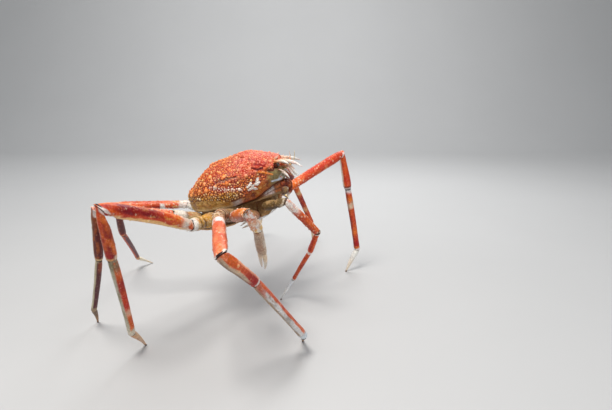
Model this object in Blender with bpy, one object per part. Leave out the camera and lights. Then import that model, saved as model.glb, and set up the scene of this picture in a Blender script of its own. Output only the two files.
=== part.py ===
"""A spider crab of the deep Japanese kind, standing with its legs bent, at life size.

The body faces +X, its left side is +Y, and all eight feet stand on z = 0. Sizes are millimetres.
"""
import math
import random

import bmesh
import bpy
from mathutils import Matrix, Vector

MM = 0.001
HALF_GAP = 0.16
SIDES = 16

# Body
BODY_AT = (-95.0, -122.0, 266.0)
BODY_HEADING = 2.0
BODY_RISE = 11.0
DOME_LENGTH = 218.0
DOME_FLOOR = -7.0
DOME_HALF = 17
# Along the dome, half width, crown, margin height, half width of the lower edge, lower edge
DOME = (
    (-0.012, 14, 31, 26, 12, 14),
    (0.00, 30, 34, 27, 24, 4),
    (0.05, 58, 43, 28, 46, -7),
    (0.14, 83, 61, 29, 66, -7),
    (0.28, 101, 83, 30, 80, -7),
    (0.42, 106, 91, 31, 83, -7),
    (0.56, 96, 96, 33, 76, -4),
    (0.68, 77, 99, 36, 61, -3),
    (0.80, 57, 94, 40, 45, 7),
    (0.92, 45, 86, 45, 30, 18),
    (1.00, 34, 78, 49, 21, 22),
)

# Where each limb leaves the chest: along, to the side, up, in the body's own frame
SOCKETS = {1: (140, 36, -44), 2: (166, 62, -22), 3: (95, 80, -24), 4: (62, 76, -24), 5: (24, 50, -24)}

# Joints from hip to foot. A leg has hip, knee, end of wrist, end of shin, foot
LEGS = {
    ("right", 2): ((123, -222, 296), (192, -155, 209), (175, -120, 152), (134, -51, 57), (101, -47, 0)),
    ("left", 2): ((122, -7, 286), (262, 88, 361), (282, 119, 262), (318, 174, 65), (285, 163, 0)),
    ("right", 3): ((-9, -291, 282), (34, -517, 273), (78, -442, 201), (161, -335, 46), (159, -270, 0)),
    ("left", 3): ((11, 29, 287), (90, 224, 312), (119, 314, 258), (186, 429, 78), (190, 448, 0)),
    ("right", 4): ((-73, -258, 253), (-171, -464, 336), (-176, -418, 236), (-179, -345, 56), (-173, -287, 0)),
    ("left", 4): ((-72, 16, 264), (2, 244, 290), (6, 339, 228), (2, 508, 84), (-12, 522, 0)),
    ("right", 5): ((-119, -226, 269), (-218, -376, 313), (-242, -318, 202), (-306, -221, 50), (-319, -178, 0)),
    ("left", 5): ((-124, -58, 254), (-284, -95, 259), (-308, -10, 166), (-342, 183, 36), (-317, 241, 0)),
}
# A claw arm has hip, elbow, wrist, root of the movable finger, tip of the fingers
ARMS = {
    "right": ((19, -264, 273), (60, -392, 312), (74, -340, 268), (76, -288, 206), (75, -244, 156)),
    "left": ((42, 0, 280), (104, 120, 268), (110, 60, 247), (45, 40, 204), (-7, 30, 173)),
}
# Knuckle radius at the ends of each leg's pieces: hip, knee, wrist, shin end
KNUCKLES = {
    ("right", 2): (8.2, 7.2, 5.6, 4.6),
    ("left", 2): (11.0, 10.4, 9.0, 7.6),
    ("right", 3): (11.5, 11.0, 9.6, 7.6),
    ("left", 3): (11.5, 11.0, 9.6, 7.6),
    ("right", 4): (12.4, 11.6, 9.0, 6.6),
    ("left", 4): (12.0, 11.4, 9.8, 7.6),
    ("right", 5): (9.5, 8.6, 7.2, 5.6),
    ("left", 5): (9.5, 8.6, 7.2, 5.6),
}
ARM_KNUCKLES = (10.2, 9.2, 8.4, 6.0)
# How far each thigh bows up, or down, as a share of its length
THIGH_BOW = {("right", 4): -0.035, ("left", 4): 0.02, ("right", 3): 0.0}
# A piece starts narrower than the one before it ends
NECK = {"thigh": 0.94, "wrist": 0.82, "shin": 0.88, "foot": 0.88}
FOOT_FLAT = 2.4

# Along a piece, then its half width and half depth as a share of the knuckle there
THIGH = ((0.10, 1.05, 1.05), (0.30, 1.12, 1.15), (0.55, 1.12, 1.16), (0.80, 1.16, 1.16), (0.93, 1.12, 1.10))
WRIST = ((0.20, 1.02, 1.00), (0.50, 1.20, 1.16), (0.80, 1.32, 1.26))
SHIN = ((0.08, 1.10, 1.10), (0.25, 1.14, 1.16), (0.55, 1.08, 1.12), (0.80, 1.08, 1.08), (0.94, 1.18, 1.12))
CLAW = ((0.14, 1.0, 1.15), (0.30, 0.82, 0.98), (0.50, 0.66, 0.78), (0.70, 0.52, 0.60), (0.88, 0.42, 0.44))

ORBIT_AT = (204.0, 42.0, 62.0)
ORBIT_NORMAL = (0.75, 0.60, 0.28)
EYE_FOOT = (207.0, 37.0, 60.0)
FEELER_ROOT = (11.0, 48.0)
FEELER = ((226, 11, 48), (236, 10, 50), (245, 10, 55), (251, 12, 65), (254, 16, 78))
MOUTH_PLATE = ((196.4, 1, 22, -7.4), (196.4, 1, 20, -34), (205, 3, 18, -10), (206, 3, 17, -22), (202, 3, 14, -33))
# The wall between the front of the dome and the chest: along, how much wider it is below
MOUTH_WALL = ((0.50, 2), (0.56, 3), (0.68, 5), (0.80, 6), (0.92, 6), (0.965, 3))

KNOB_COUNT = 120
# Spines of the face: the beak's two prongs, one before and one behind each eye, and one below it
FACE_SPINES = (
    (((203, 11, 63), (224, 21, 64), (246, 38, 59), (264, 56, 50)), (7.5, 5.2, 3.4, 0.8)),
    (((201, 30, 71), (211, 33, 76), (218, 35, 82)), (4.2, 2.6, 0.7)),
    (((184, 45, 57), (193, 57, 63), (200, 64, 66)), (5.0, 3.2, 0.8)),
    (((206, 20, 42), (224, 26, 38), (238, 30, 29), (245, 32, 19)), (4.8, 3.4, 2.4, 0.7)),
)

COLORS = {
    "shell": (0.72, 0.23, 0.11, 1.0),
    "belly": (0.62, 0.45, 0.30, 1.0),
    "limb": (0.74, 0.20, 0.10, 1.0),
    "tip": (0.80, 0.72, 0.62, 1.0),
    "eye": (0.03, 0.02, 0.02, 1.0),
}


def clear_scene():
    for item in list(bpy.data.objects):
        bpy.data.objects.remove(item, do_unlink=True)


def body_frame():
    heading = Matrix.Rotation(math.radians(BODY_HEADING), 4, "Z")
    rise = Matrix.Rotation(-math.radians(BODY_RISE), 4, "Y")
    return Matrix.Translation(Vector(BODY_AT)) @ heading @ rise


def material(kind, roughness=0.55):
    found = bpy.data.materials.get(kind)
    if found:
        return found
    made = bpy.data.materials.new(kind)
    made.use_nodes = True
    shader = made.node_tree.nodes["Principled BSDF"]
    shader.inputs["Base Color"].default_value = COLORS[kind]
    shader.inputs["Roughness"].default_value = roughness
    return made


def add_object(name, mesh_data, kind):
    """Turns a bmesh in millimetres into a named object in metres."""
    bmesh.ops.scale(mesh_data, vec=(MM, MM, MM), verts=mesh_data.verts)
    bmesh.ops.recalc_face_normals(mesh_data, faces=mesh_data.faces)
    bmesh.ops.triangulate(mesh_data, faces=mesh_data.faces)
    mesh = bpy.data.meshes.new(name)
    mesh_data.to_mesh(mesh)
    mesh_data.free()
    mesh.materials.append(material(kind))
    mesh.shade_smooth()
    mesh.set_sharp_from_angle(angle=math.radians(50))
    item = bpy.data.objects.new(name, mesh)
    bpy.context.scene.collection.objects.link(item)
    return item


def bridge(mesh_data, rings, close_start=True, close_end=True):
    """Skins a row of rings and closes both ends with fans."""
    rows = [[mesh_data.verts.new(point) for point in ring] for ring in rings]
    count = len(rows[0])
    for near, far in zip(rows, rows[1:]):
        for k in range(count):
            other = (k + 1) % count
            mesh_data.faces.new((near[k], near[other], far[other], far[k]))
    for row, wanted in ((rows[0], close_start), (rows[-1], close_end)):
        if wanted:
            centre = mesh_data.verts.new(sum((v.co for v in row), Vector()) / count)
            for k in range(count):
                mesh_data.faces.new((row[k], row[(k + 1) % count], centre))


def side_axis(direction, plane_normal):
    side = plane_normal - direction * plane_normal.dot(direction)
    return side.normalized()


def flat_ring(centre, normal, direction, side, radius):
    """A circle in the plane of a joint, lined up with the rings beside it."""
    other = direction.cross(side)
    points = []
    for k in range(SIDES):
        angle = math.tau * k / SIDES
        ray = side * math.cos(angle) + other * math.sin(angle)
        ray = ray - direction * (ray.dot(normal) / direction.dot(normal))
        points.append(centre - normal * HALF_GAP + ray.normalized() * radius)
    return points


def cross_ring(centre, direction, side, wide, deep, planes):
    other = direction.cross(side)
    points = []
    for k in range(SIDES):
        angle = math.tau * k / SIDES
        point = centre + side * (wide * math.cos(angle)) + other * (deep * math.sin(angle))
        for at, normal in planes:
            over = (point - at).dot(normal) + HALF_GAP
            if over > 0:
                point = point - normal * over
        points.append(point)
    return points


def curve_at(start, bend, end, t):
    return start * (1 - t) ** 2 + bend * (2 * t * (1 - t)) + end * t ** 2


def curve_slope(start, bend, end, t):
    return ((bend - start) * (1 - t) + (end - bend) * t).normalized()


def piece_rings(start, end, radii, profile, start_plane, end_plane, normal, bow=0.0):
    """Rings of one limb piece, from the plane of one joint to that of the next.

    Each plane is a point and a normal that points out of the piece. The bow lifts the middle.
    """
    along = end - start
    length = along.length
    lift = normal.cross(along).normalized() * (bow * length)
    if lift.z < 0:
        lift = -lift
    bend = (start + end) / 2 + lift
    planes = [start_plane, end_plane]
    first = curve_slope(start, bend, end, 0.0)
    rings = [flat_ring(start, start_plane[1], first, side_axis(first, normal), radii[0])]
    for t, wide, deep in profile:
        centre = curve_at(start, bend, end, t)
        slope = curve_slope(start, bend, end, t)
        base = radii[0] + (radii[1] - radii[0]) * t
        rings.append(cross_ring(centre, slope, side_axis(slope, normal), base * wide, base * deep, planes))
    last = curve_slope(start, bend, end, 1.0)
    rings.append(flat_ring(end, end_plane[1], last, side_axis(last, normal), radii[1]))
    return rings


def joint_plane(before, at, after):
    """The plane midway between two pieces, its normal pointing onward."""
    normal = (at - before).normalized() + (after - at).normalized()
    return normal.normalized()


def leg_normal(points):
    """The normal of the upright plane that a leg mostly lies in."""
    flat = (points[-1] - points[0]).cross(points[1] - points[0])
    return flat.normalized()


def add_piece(name, rings, kind):
    mesh_data = bmesh.new()
    bridge(mesh_data, rings)
    return add_object(name, mesh_data, kind)


def hip_piece(name, socket, hip, knee, radius, normal):
    """Coxa and ischium: from the flat on the chest to the hip."""
    outward = (hip - socket).normalized()
    onward = joint_plane(socket, hip, knee)
    profile = ((0.22, 1.28, 1.22), (0.42, 1.22, 1.18), (0.55, 1.08, 1.06), (0.78, 1.20, 1.16), (0.88, 1.16, 1.12))
    planes = ((socket, -outward), (hip, onward))
    rings = piece_rings(socket, hip, (radius * 1.05, radius), profile, planes[0], planes[1], normal)
    return add_piece(name, rings, "limb")


def build_leg(side, number, frame):
    points = [Vector(p) for p in LEGS[(side, number)]]
    radii = KNUCKLES[(side, number)]
    socket = socket_point(side, number, frame)
    normal = leg_normal(points)
    name = "leg_%s_%d_" % (side, number)
    hip_piece(name + "hip", socket, points[0], points[1], radii[0], normal)
    before = [socket] + points
    turns = [joint_plane(before[k], before[k + 1], before[k + 2]) for k in range(4)]
    for part, profile, k in (("thigh", THIGH, 0), ("wrist", WRIST, 1), ("shin", SHIN, 2)):
        start_plane = (points[k], -turns[k])
        end_plane = (points[k + 1], turns[k + 1])
        ends = (radii[k] * NECK[part], radii[k + 1])
        bow = THIGH_BOW.get((side, number), 0.012) if part == "thigh" else 0.015
        rings = piece_rings(points[k], points[k + 1], ends, profile, start_plane, end_plane, normal, bow)
        add_piece(name + part, rings, "limb")
    build_foot(name + "foot", points[3], points[4], radii[3] * NECK["foot"], turns[3], normal)


def build_foot(name, start, tip, radius, turn, normal):
    """The last piece, tapered to a small flat on the floor."""
    along = tip - start
    lift = normal.cross(along).normalized() * (0.05 * along.length)
    if lift.z < 0:
        lift = -lift
    bend = (start + tip) / 2 + lift
    floor = (Vector((tip.x, tip.y, -HALF_GAP)), Vector((0, 0, -1)))
    first = curve_slope(start, bend, tip, 0.0)
    rings = [flat_ring(start, -turn, first, side_axis(first, normal), radius)]
    for t, wide, deep in CLAW:
        slope = curve_slope(start, bend, tip, t)
        ring = cross_ring(curve_at(start, bend, tip, t), slope, side_axis(slope, normal), radius * wide,
                          radius * deep, ((start, -turn), floor))
        rings.append(ring)
    last = curve_slope(start, bend, tip, 1.0)
    end = flat_ring(Vector((tip.x, tip.y, -HALF_GAP)), Vector((0, 0, -1)), last, side_axis(last, normal), FOOT_FLAT)
    rings.append(end)
    add_piece(name, rings, "tip")


def socket_point(side, number, frame):
    x, y, z = SOCKETS[number]
    return frame @ Vector((x, y if side == "left" else -y, z))


def build_arm(side, frame):
    """A claw arm: hip, upper arm, wrist, palm with its fixed finger, and the movable finger."""
    points = [Vector(p) for p in ARMS[side]]
    radii = ARM_KNUCKLES
    socket = socket_point(side, 1, frame)
    normal = leg_normal([points[0], points[1], points[2]])
    name = "arm_%s_" % side
    hip_piece(name + "hip", socket, points[0], points[1], radii[0], normal)
    turns = [joint_plane(socket, points[0], points[1]), joint_plane(points[0], points[1], points[2]),
             joint_plane(points[1], points[2], points[3])]
    for part, profile, k in (("upper", THIGH, 0), ("wrist", WRIST, 1)):
        ends = (radii[k] * (NECK[part] if part in NECK else 1.0), radii[k + 1])
        rings = piece_rings(points[k], points[k + 1], ends, profile, (points[k], -turns[k]),
                            (points[k + 1], turns[k + 1]), normal, bow=0.01)
        add_piece(name + part, rings, "limb")
    build_claw(name, points[2], points[3], points[4], radii[2], turns[2], normal)


def build_claw(name, wrist, split, tip, radius, turn, normal):
    """The palm runs on into the fixed finger; the movable finger starts on a flat beside it."""
    along = (split - wrist).normalized()
    spread = normal.cross(along).normalized()
    if spread.x < 0:
        spread = -spread
    palm_end = split
    fixed_root = split - spread * 5.0
    fixed_tip = tip - spread * 2.6
    free_root = split + spread * 6.2
    free_tip = tip + spread * 2.6
    reach = (palm_end - wrist).length
    rings = [flat_ring(wrist, -turn, along, side_axis(along, normal), radius)]
    for t, wide, deep in ((0.16, 1.05, 1.15), (0.45, 1.08, 1.35), (0.75, 1.05, 1.50), (0.985, 0.92, 1.42)):
        rings.append(cross_ring(wrist + along * (reach * t), along, side_axis(along, normal), radius * wide,
                                radius * deep, ((wrist, -turn),)))
    finger = (fixed_tip - fixed_root).normalized()
    rings.append(flat_ring(fixed_root, along, along, side_axis(along, normal), radius * 0.58))
    for t, size in ((0.16, 0.56), (0.40, 0.48), (0.75, 0.34), (0.97, 0.14)):
        centre = fixed_root.lerp(fixed_tip, t)
        rings.append(cross_ring(centre, finger, side_axis(finger, normal), radius * size, radius * size, ()))
    add_piece(name + "palm", rings, "limb")
    finger = (free_tip - free_root).normalized()
    bow = spread * 3.0
    rings = [flat_ring(free_root, -along, along, side_axis(along, normal), radius * 0.58)]
    for t, size in ((0.16, 0.58), (0.30, 0.55), (0.55, 0.44), (0.8, 0.30), (0.97, 0.13)):
        centre = free_root.lerp(free_tip, t) + bow * math.sin(math.pi * t)
        rings.append(cross_ring(centre, finger, side_axis(finger, normal), radius * size, radius * size,
                                ((split, -along),)))
    add_piece(name + "finger", rings, "tip")


def dome_ring(entry):
    """One cross section of the dome: over the back, down the flank and along the flat underside."""
    along, wide, crown, margin, low_wide, low = entry
    x = along * DOME_LENGTH
    points = []
    for k in range(DOME_HALF):
        angle = math.pi * k / (DOME_HALF - 1)
        reach = math.copysign(abs(math.cos(angle)) ** 0.92, math.cos(angle))
        points.append(Vector((x, wide * reach, margin + (crown - margin) * max(math.sin(angle), 0.0) ** 0.8)))
    for t, bulge in ((0.35, 0.05), (0.7, 0.04)):
        points.append(Vector((x, -(wide + (low_wide - wide) * t) - wide * bulge, margin + (low - margin) * t)))
    for k in range(5):
        points.append(Vector((x, low_wide * (k / 2.0 - 1.0), low)))
    for t, bulge in ((0.7, 0.04), (0.35, 0.05)):
        points.append(Vector((x, wide + (low_wide - wide) * t + wide * bulge, margin + (low - margin) * t)))
    return points


def cut_flat(mesh_data, at, normal):
    """Cuts away what lies beyond a plane and closes the cut."""
    every = mesh_data.verts[:] + mesh_data.edges[:] + mesh_data.faces[:]
    cut = bmesh.ops.bisect_plane(mesh_data, geom=every, dist=0.001, plane_co=at, plane_no=normal, clear_outer=True)
    edges = [e for e in cut["geom_cut"] if isinstance(e, bmesh.types.BMEdge)]
    bmesh.ops.holes_fill(mesh_data, edges=edges)


def orbit_plane(frame, sign):
    """The flat on the front corner of the dome where an eye stalk stands."""
    normal = Vector((ORBIT_NORMAL[0], sign * ORBIT_NORMAL[1], ORBIT_NORMAL[2])).normalized()
    return frame @ Vector((ORBIT_AT[0], sign * ORBIT_AT[1], ORBIT_AT[2])), frame.to_3x3() @ normal


def dome_entry(along):
    """The dome's sizes at any place along it."""
    for near, far in zip(DOME, DOME[1:]):
        if along <= far[0]:
            t = (along - near[0]) / (far[0] - near[0])
            return [near[i] + (far[i] - near[i]) * t for i in range(6)]
    return list(DOME[-1])


def dome_point(along, turn):
    """A point on the dome's back: turn is 0 at the left margin, 90 on the ridge, 180 at the right."""
    wide, crown, margin = dome_entry(along)[1:4]
    angle = math.radians(turn)
    reach = math.copysign(abs(math.cos(angle)) ** 0.92, math.cos(angle))
    return Vector((along * DOME_LENGTH, wide * reach, margin + (crown - margin) * max(math.sin(angle), 0.0) ** 0.8))


def dome_normal(along, turn):
    ahead = dome_point(along + 0.01, turn) - dome_point(along - 0.01, turn)
    across = dome_point(along, min(turn + 1.0, 179.0)) - dome_point(along, max(turn - 1.0, 1.0))
    return across.cross(ahead).normalized() * (-1.0 if across.cross(ahead).dot(Vector((0, 0, 1))) < 0 else 1.0)


def add_cone(name, frame, path, radii, sides, group):
    """A closed spine along a path in the body's frame, ready for the union."""
    mesh_data = bmesh.new()
    rings = []
    for k, (point, radius) in enumerate(zip(path, radii)):
        slope = (path[min(k + 1, len(path) - 1)] - path[max(k - 1, 0)]).normalized()
        side = side_axis(slope, Vector((0.31, 0.87, 0.38)).normalized())
        other = slope.cross(side)
        ring = []
        for j in range(sides):
            angle = math.tau * (j + 0.37) / sides
            ring.append(frame @ (point + side * (radius * math.cos(angle)) + other * (radius * math.sin(angle))))
        rings.append(ring)
    rows = [[mesh_data.verts.new(p) for p in ring] for ring in rings]
    for near, far in zip(rows, rows[1:]):
        for j in range(sides):
            nxt = (j + 1) % sides
            mesh_data.faces.new((near[j], near[nxt], far[nxt], far[j]))
    mesh_data.faces.new(rows[0])
    mesh_data.faces.new(rows[-1])
    item = add_object(name, mesh_data, "shell")
    bpy.context.scene.collection.objects.unlink(item)
    group.objects.link(item)


def knob_places(rng):
    """Where the dome's knobs stand: rows along the ridge, the shoulders and the margins, then scattered ones."""
    places = []
    for along in (0.10, 0.20, 0.31, 0.43, 0.55, 0.67, 0.79, 0.89):
        places.append((along, 90.0, 3.8, 4.2))
    for turn in (64.0, 116.0):
        for along in (0.12, 0.24, 0.36, 0.48, 0.60, 0.72, 0.84):
            places.append((along, turn, 3.6, 4.0))
    for turn in (38.0, 142.0):
        for along in (0.08, 0.19, 0.30, 0.41, 0.52, 0.63, 0.74, 0.85):
            places.append((along, turn, 4.0, 4.0))
    for turn in (12.0, 168.0):
        for along in (0.06, 0.16, 0.26, 0.36, 0.46, 0.56, 0.66, 0.76, 0.86):
            places.append((along, turn, 5.6, 4.2))
    while len(places) < KNOB_COUNT:
        along, turn = rng.uniform(0.05, 0.92), rng.uniform(16.0, 164.0)
        here = dome_point(along, turn)
        if all((here - dome_point(a, t)).length > 15.0 for a, t, _, _ in places):
            places.append((along, turn, rng.uniform(2.4, 3.4), rng.uniform(3.0, 3.8)))
    return places


def build_dome(frame):
    """The dome, its forked beak, the spines round the eyes and its knobs, fused into one body."""
    mesh_data = bmesh.new()
    bridge(mesh_data, [[frame @ p for p in dome_ring(entry)] for entry in DOME])
    for sign in (-1, 1):
        at, normal = orbit_plane(frame, sign)
        cut_flat(mesh_data, at, normal)
    dome = add_object("carapace", mesh_data, "shell")
    group = bpy.data.collections.new("spines")
    bpy.context.scene.collection.children.link(group)
    rng = random.Random(11)
    for n, (along, turn, height, radius) in enumerate(knob_places(rng)):
        root, normal = dome_point(along, turn), dome_normal(along, turn)
        lean = (normal + Vector((0.25, 0, 0.15))).normalized()
        path = [root - lean * 3.0, root + lean * (height * 0.45), root + lean * height]
        add_cone("knob_%d" % n, frame, path, (radius, radius * 0.72, radius * 0.22), 5, group)
    for sign in (-1, 1):
        for n, (path, radii) in enumerate(FACE_SPINES):
            points = [Vector((x, sign * y, z)) for x, y, z in path]
            add_cone("face_%d_%d" % (n, sign), frame, points, radii, 7, group)
    return fuse(dome, group)


def fuse(item, group):
    """One union of the body with its spines; only the largest closed surface is kept."""
    union = item.modifiers.new("spines", "BOOLEAN")
    union.operation = "UNION"
    union.operand_type = "COLLECTION"
    union.collection = group
    union.solver = "EXACT"
    bpy.context.view_layer.update()
    depsgraph = bpy.context.evaluated_depsgraph_get()
    mesh = bpy.data.meshes.new_from_object(item.evaluated_get(depsgraph))
    item.modifiers.clear()
    item.data = mesh
    for spine in list(group.objects):
        bpy.data.objects.remove(spine, do_unlink=True)
    bpy.data.collections.remove(group)
    keep_largest(mesh)
    return item


def keep_largest(mesh):
    mesh_data = bmesh.new()
    mesh_data.from_mesh(mesh)
    left = set(mesh_data.verts)
    parts = []
    while left:
        stack = [left.pop()]
        part = set(stack)
        while stack:
            vert = stack.pop()
            for edge in vert.link_edges:
                other = edge.other_vert(vert)
                if other not in part:
                    part.add(other)
                    stack.append(other)
        left -= part
        parts.append(part)
    parts.sort(key=len)
    loose = [v for part in parts[:-1] for v in part]
    bmesh.ops.delete(mesh_data, geom=loose, context="VERTS")
    bmesh.ops.triangulate(mesh_data, faces=mesh_data.faces)
    mesh_data.to_mesh(mesh)
    mesh_data.free()


def hull_object(name, points, cuts, kind):
    """A convex body cut by flats; each cut is a point and a normal that points out."""
    mesh_data = bmesh.new()
    for point in points:
        mesh_data.verts.new(point)
    made = bmesh.ops.convex_hull(mesh_data, input=mesh_data.verts)
    loose = [v for v in made["geom_interior"] if isinstance(v, bmesh.types.BMVert)]
    bmesh.ops.delete(mesh_data, geom=loose, context="VERTS")
    for at, normal in cuts:
        cut_flat(mesh_data, at, normal)
    return add_object(name, mesh_data, kind)


def build_chest(frame):
    """The chest below the dome, with a flat for each limb."""
    top = DOME_FLOOR - 2 * HALF_GAP
    points = []
    for x, wide, low_wide, low in ((4, 34, 24, -32), (24, 60, 44, -44), (60, 86, 66, -50), (100, 92, 70, -52),
                                   (140, 78, 60, -52), (170, 66, 46, -46), (196, 40, 26, -26)):
        for sign in (-1, 1):
            points.append(Vector((x, sign * wide, top)))
            points.append(Vector((x, sign * wide, -26 if low < -30 else -16)))
            points.append(Vector((x, sign * low_wide, low)))
    cuts = []
    for side in ("right", "left"):
        for number in SOCKETS:
            socket = socket_point(side, number, frame)
            hip = Vector(LEGS[(side, number)][0] if number > 1 else ARMS[side][0])
            outward = (hip - socket).normalized()
            cuts.append((socket - outward * HALF_GAP, outward))
    return hull_object("chest", [frame @ p for p in points], cuts, "belly")


def build_mouth_wall(frame):
    """The wall that closes the front between the dome's rising edge and the chest."""
    mesh_data = bmesh.new()
    rings = []
    for along, flare in MOUTH_WALL:
        low_wide, low = dome_entry(along)[4:6]
        x, top, under = along * DOME_LENGTH, low - 2 * HALF_GAP, DOME_FLOOR
        ring = []
        for share in (-1.0, -0.5, 0.0, 0.5, 1.0):
            ring.append(Vector((x, share * (low_wide - 1.0), top)))
        ring.append(Vector((x, low_wide - 1.0 + 0.7 * flare, (top + under) / 2)))
        for share in (1.0, 0.5, 0.0, -0.5, -1.0):
            ring.append(Vector((x, share * (low_wide + flare), under)))
        ring.append(Vector((x, -(low_wide - 1.0 + 0.7 * flare), (top + under) / 2)))
        rings.append([frame @ point for point in ring])
    bridge(mesh_data, rings)
    add_object("mouth_wall", mesh_data, "belly")


def build_abdomen(frame):
    """The broad flap folded under the chest."""
    points = []
    for x, wide, top, low in ((2, 16, -53.4, -55), (12, 28, -53.4, -58), (40, 38, -53.4, -61),
                              (75, 36, -53.4, -61), (100, 22, -53.4, -57), (108, 10, -53.4, -55)):
        for share, depth in ((1.0, 0.0), (0.8, 0.7), (0.4, 1.0), (0.0, 1.0)):
            for sign in (-1, 1):
                points.append(Vector((x, sign * wide * share, top + (low - top) * depth)))
                points.append(Vector((x, sign * wide * share, top)))
    return hull_object("abdomen", [frame @ p for p in points], [], "belly")


def face_rod(name, start, plane_normal, path, radii, side_hint, kind):
    """A tapered rod that starts on a flat of the body, for an eye stalk or a feeler."""
    points = [start] + path
    first = (points[1] - start).normalized()
    rings = [flat_ring(start, -plane_normal, first, side_axis(first, side_hint), radii[0])]
    for k in range(1, len(points)):
        ahead = points[min(k + 1, len(points) - 1)]
        slope = (ahead - points[k - 1]).normalized()
        rings.append(cross_ring(points[k], slope, side_axis(slope, side_hint), radii[k], radii[k],
                                ((start, -plane_normal),)))
    return add_piece(name, rings, kind)


def build_face(frame):
    """Eyes on short stalks, feelers and the plates that close the mouth."""
    turn = frame.to_3x3()
    for side, sign in (("right", -1), ("left", 1)):
        at, normal = orbit_plane(frame, sign)
        start = frame @ Vector((EYE_FOOT[0], sign * EYE_FOOT[1], EYE_FOOT[2]))
        start = start - normal * (start - at).dot(normal)
        path = [start + normal * reach for reach in (2.4, 4.4, 7.2, 10.0, 11.4)]
        face_rod("eye_" + side, start, normal, path, (3.4, 3.2, 4.5, 5.2, 3.7, 1.5), turn @ Vector((0, 0, 1)), "eye")
        front = frame @ Vector((DOME_LENGTH, sign * FEELER_ROOT[0], FEELER_ROOT[1]))
        path = [frame @ Vector((x, sign * y, z)) for x, y, z in FEELER]
        face_rod("feeler_" + side, front, turn @ Vector((1, 0, 0)), path, (5.0, 4.6, 3.2, 1.9, 1.3, 0.8),
                 turn @ Vector((0, 1, 0)), "limb")
        points = []
        for x, near, far, z in MOUTH_PLATE:
            points.append(frame @ Vector((x, sign * near, z)))
            points.append(frame @ Vector((x, sign * far, z)))
        hull_object("mouth_plate_" + side, points, [], "belly")


def recentre():
    """Stands the model on its feet, with its origin below the middle of its outline."""
    items = list(bpy.context.scene.objects)
    corners = [v.co for item in items for v in item.data.vertices]
    middle = Vector(((min(c.x for c in corners) + max(c.x for c in corners)) / 2,
                     (min(c.y for c in corners) + max(c.y for c in corners)) / 2, 0.0))
    for item in items:
        item.data.transform(Matrix.Translation(-middle))
    print("centred by", [round(c * 1000, 3) for c in middle])


def build():
    random.seed(7)
    clear_scene()
    frame = body_frame()
    build_dome(frame)
    build_chest(frame)
    build_mouth_wall(frame)
    build_abdomen(frame)
    build_face(frame)
    for side, number in LEGS:
        build_leg(side, number, frame)
    for side in ARMS:
        build_arm(side, frame)
    recentre()


build()
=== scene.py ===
"""A giant spider crab standing on bent legs: the finish of its shell, limbs and face.

The body faces +X, its left side is +Y, and the feet stand on z = 0. Tables are in millimetres.
"""
import math
import random

import bpy
import numpy as np
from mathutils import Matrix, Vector


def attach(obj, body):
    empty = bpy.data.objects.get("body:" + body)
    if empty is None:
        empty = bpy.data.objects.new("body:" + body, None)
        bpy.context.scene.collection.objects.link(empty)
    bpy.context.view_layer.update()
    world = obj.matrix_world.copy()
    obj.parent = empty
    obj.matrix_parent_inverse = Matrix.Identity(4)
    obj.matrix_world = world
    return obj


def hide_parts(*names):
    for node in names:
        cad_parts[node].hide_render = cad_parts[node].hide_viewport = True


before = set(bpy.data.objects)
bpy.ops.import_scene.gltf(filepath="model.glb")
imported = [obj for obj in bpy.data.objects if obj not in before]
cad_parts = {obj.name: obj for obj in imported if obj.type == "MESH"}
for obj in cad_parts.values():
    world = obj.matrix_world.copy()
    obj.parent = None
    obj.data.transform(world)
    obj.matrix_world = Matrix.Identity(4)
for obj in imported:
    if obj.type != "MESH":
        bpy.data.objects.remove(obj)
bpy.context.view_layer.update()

MM = 0.001
SIDES = (("right", -1), ("left", 1))
SHIFT = np.array((11.028, 1.462, 0.0))
HALF_GAP = 0.16

# Camera of the photograph
CAMERA_AT = (0.176628, -1.254338, 0.516338)
CAMERA_PITCH = 90.0 - 12.415
CAMERA_LENS = 29.394

# Body
BODY_AT = (-95.0, -122.0, 266.0)
BODY_HEADING = 2.0
BODY_RISE = 11.0
DOME_LENGTH = 218.0
DOME_FLOOR = -7.0
DOME_NOSE = 5.0
MARGIN_POWER = 0.92
# Along the dome, half width, crown, margin height, half width of the lower edge, lower edge
DOME = (
    (-0.012, 14, 31, 26, 12, 14),
    (0.00, 30, 34, 27, 24, 4),
    (0.05, 58, 43, 28, 46, -7),
    (0.14, 83, 61, 29, 66, -7),
    (0.28, 101, 83, 30, 80, -7),
    (0.42, 106, 91, 31, 83, -7),
    (0.56, 96, 96, 33, 76, -4),
    (0.68, 77, 99, 36, 61, -3),
    (0.80, 57, 94, 40, 45, 7),
    (0.92, 45, 86, 45, 30, 18),
    (1.00, 34, 78, 49, 21, 22),
)
BACK_POWER = ((0.0, 0.82), (0.3, 0.81), (0.6, 0.72), (1.0, 0.80))
SOCKETS = {1: (140, 36, -44), 2: (166, 62, -22), 3: (95, 80, -24), 4: (62, 76, -24), 5: (24, 50, -24)}

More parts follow.
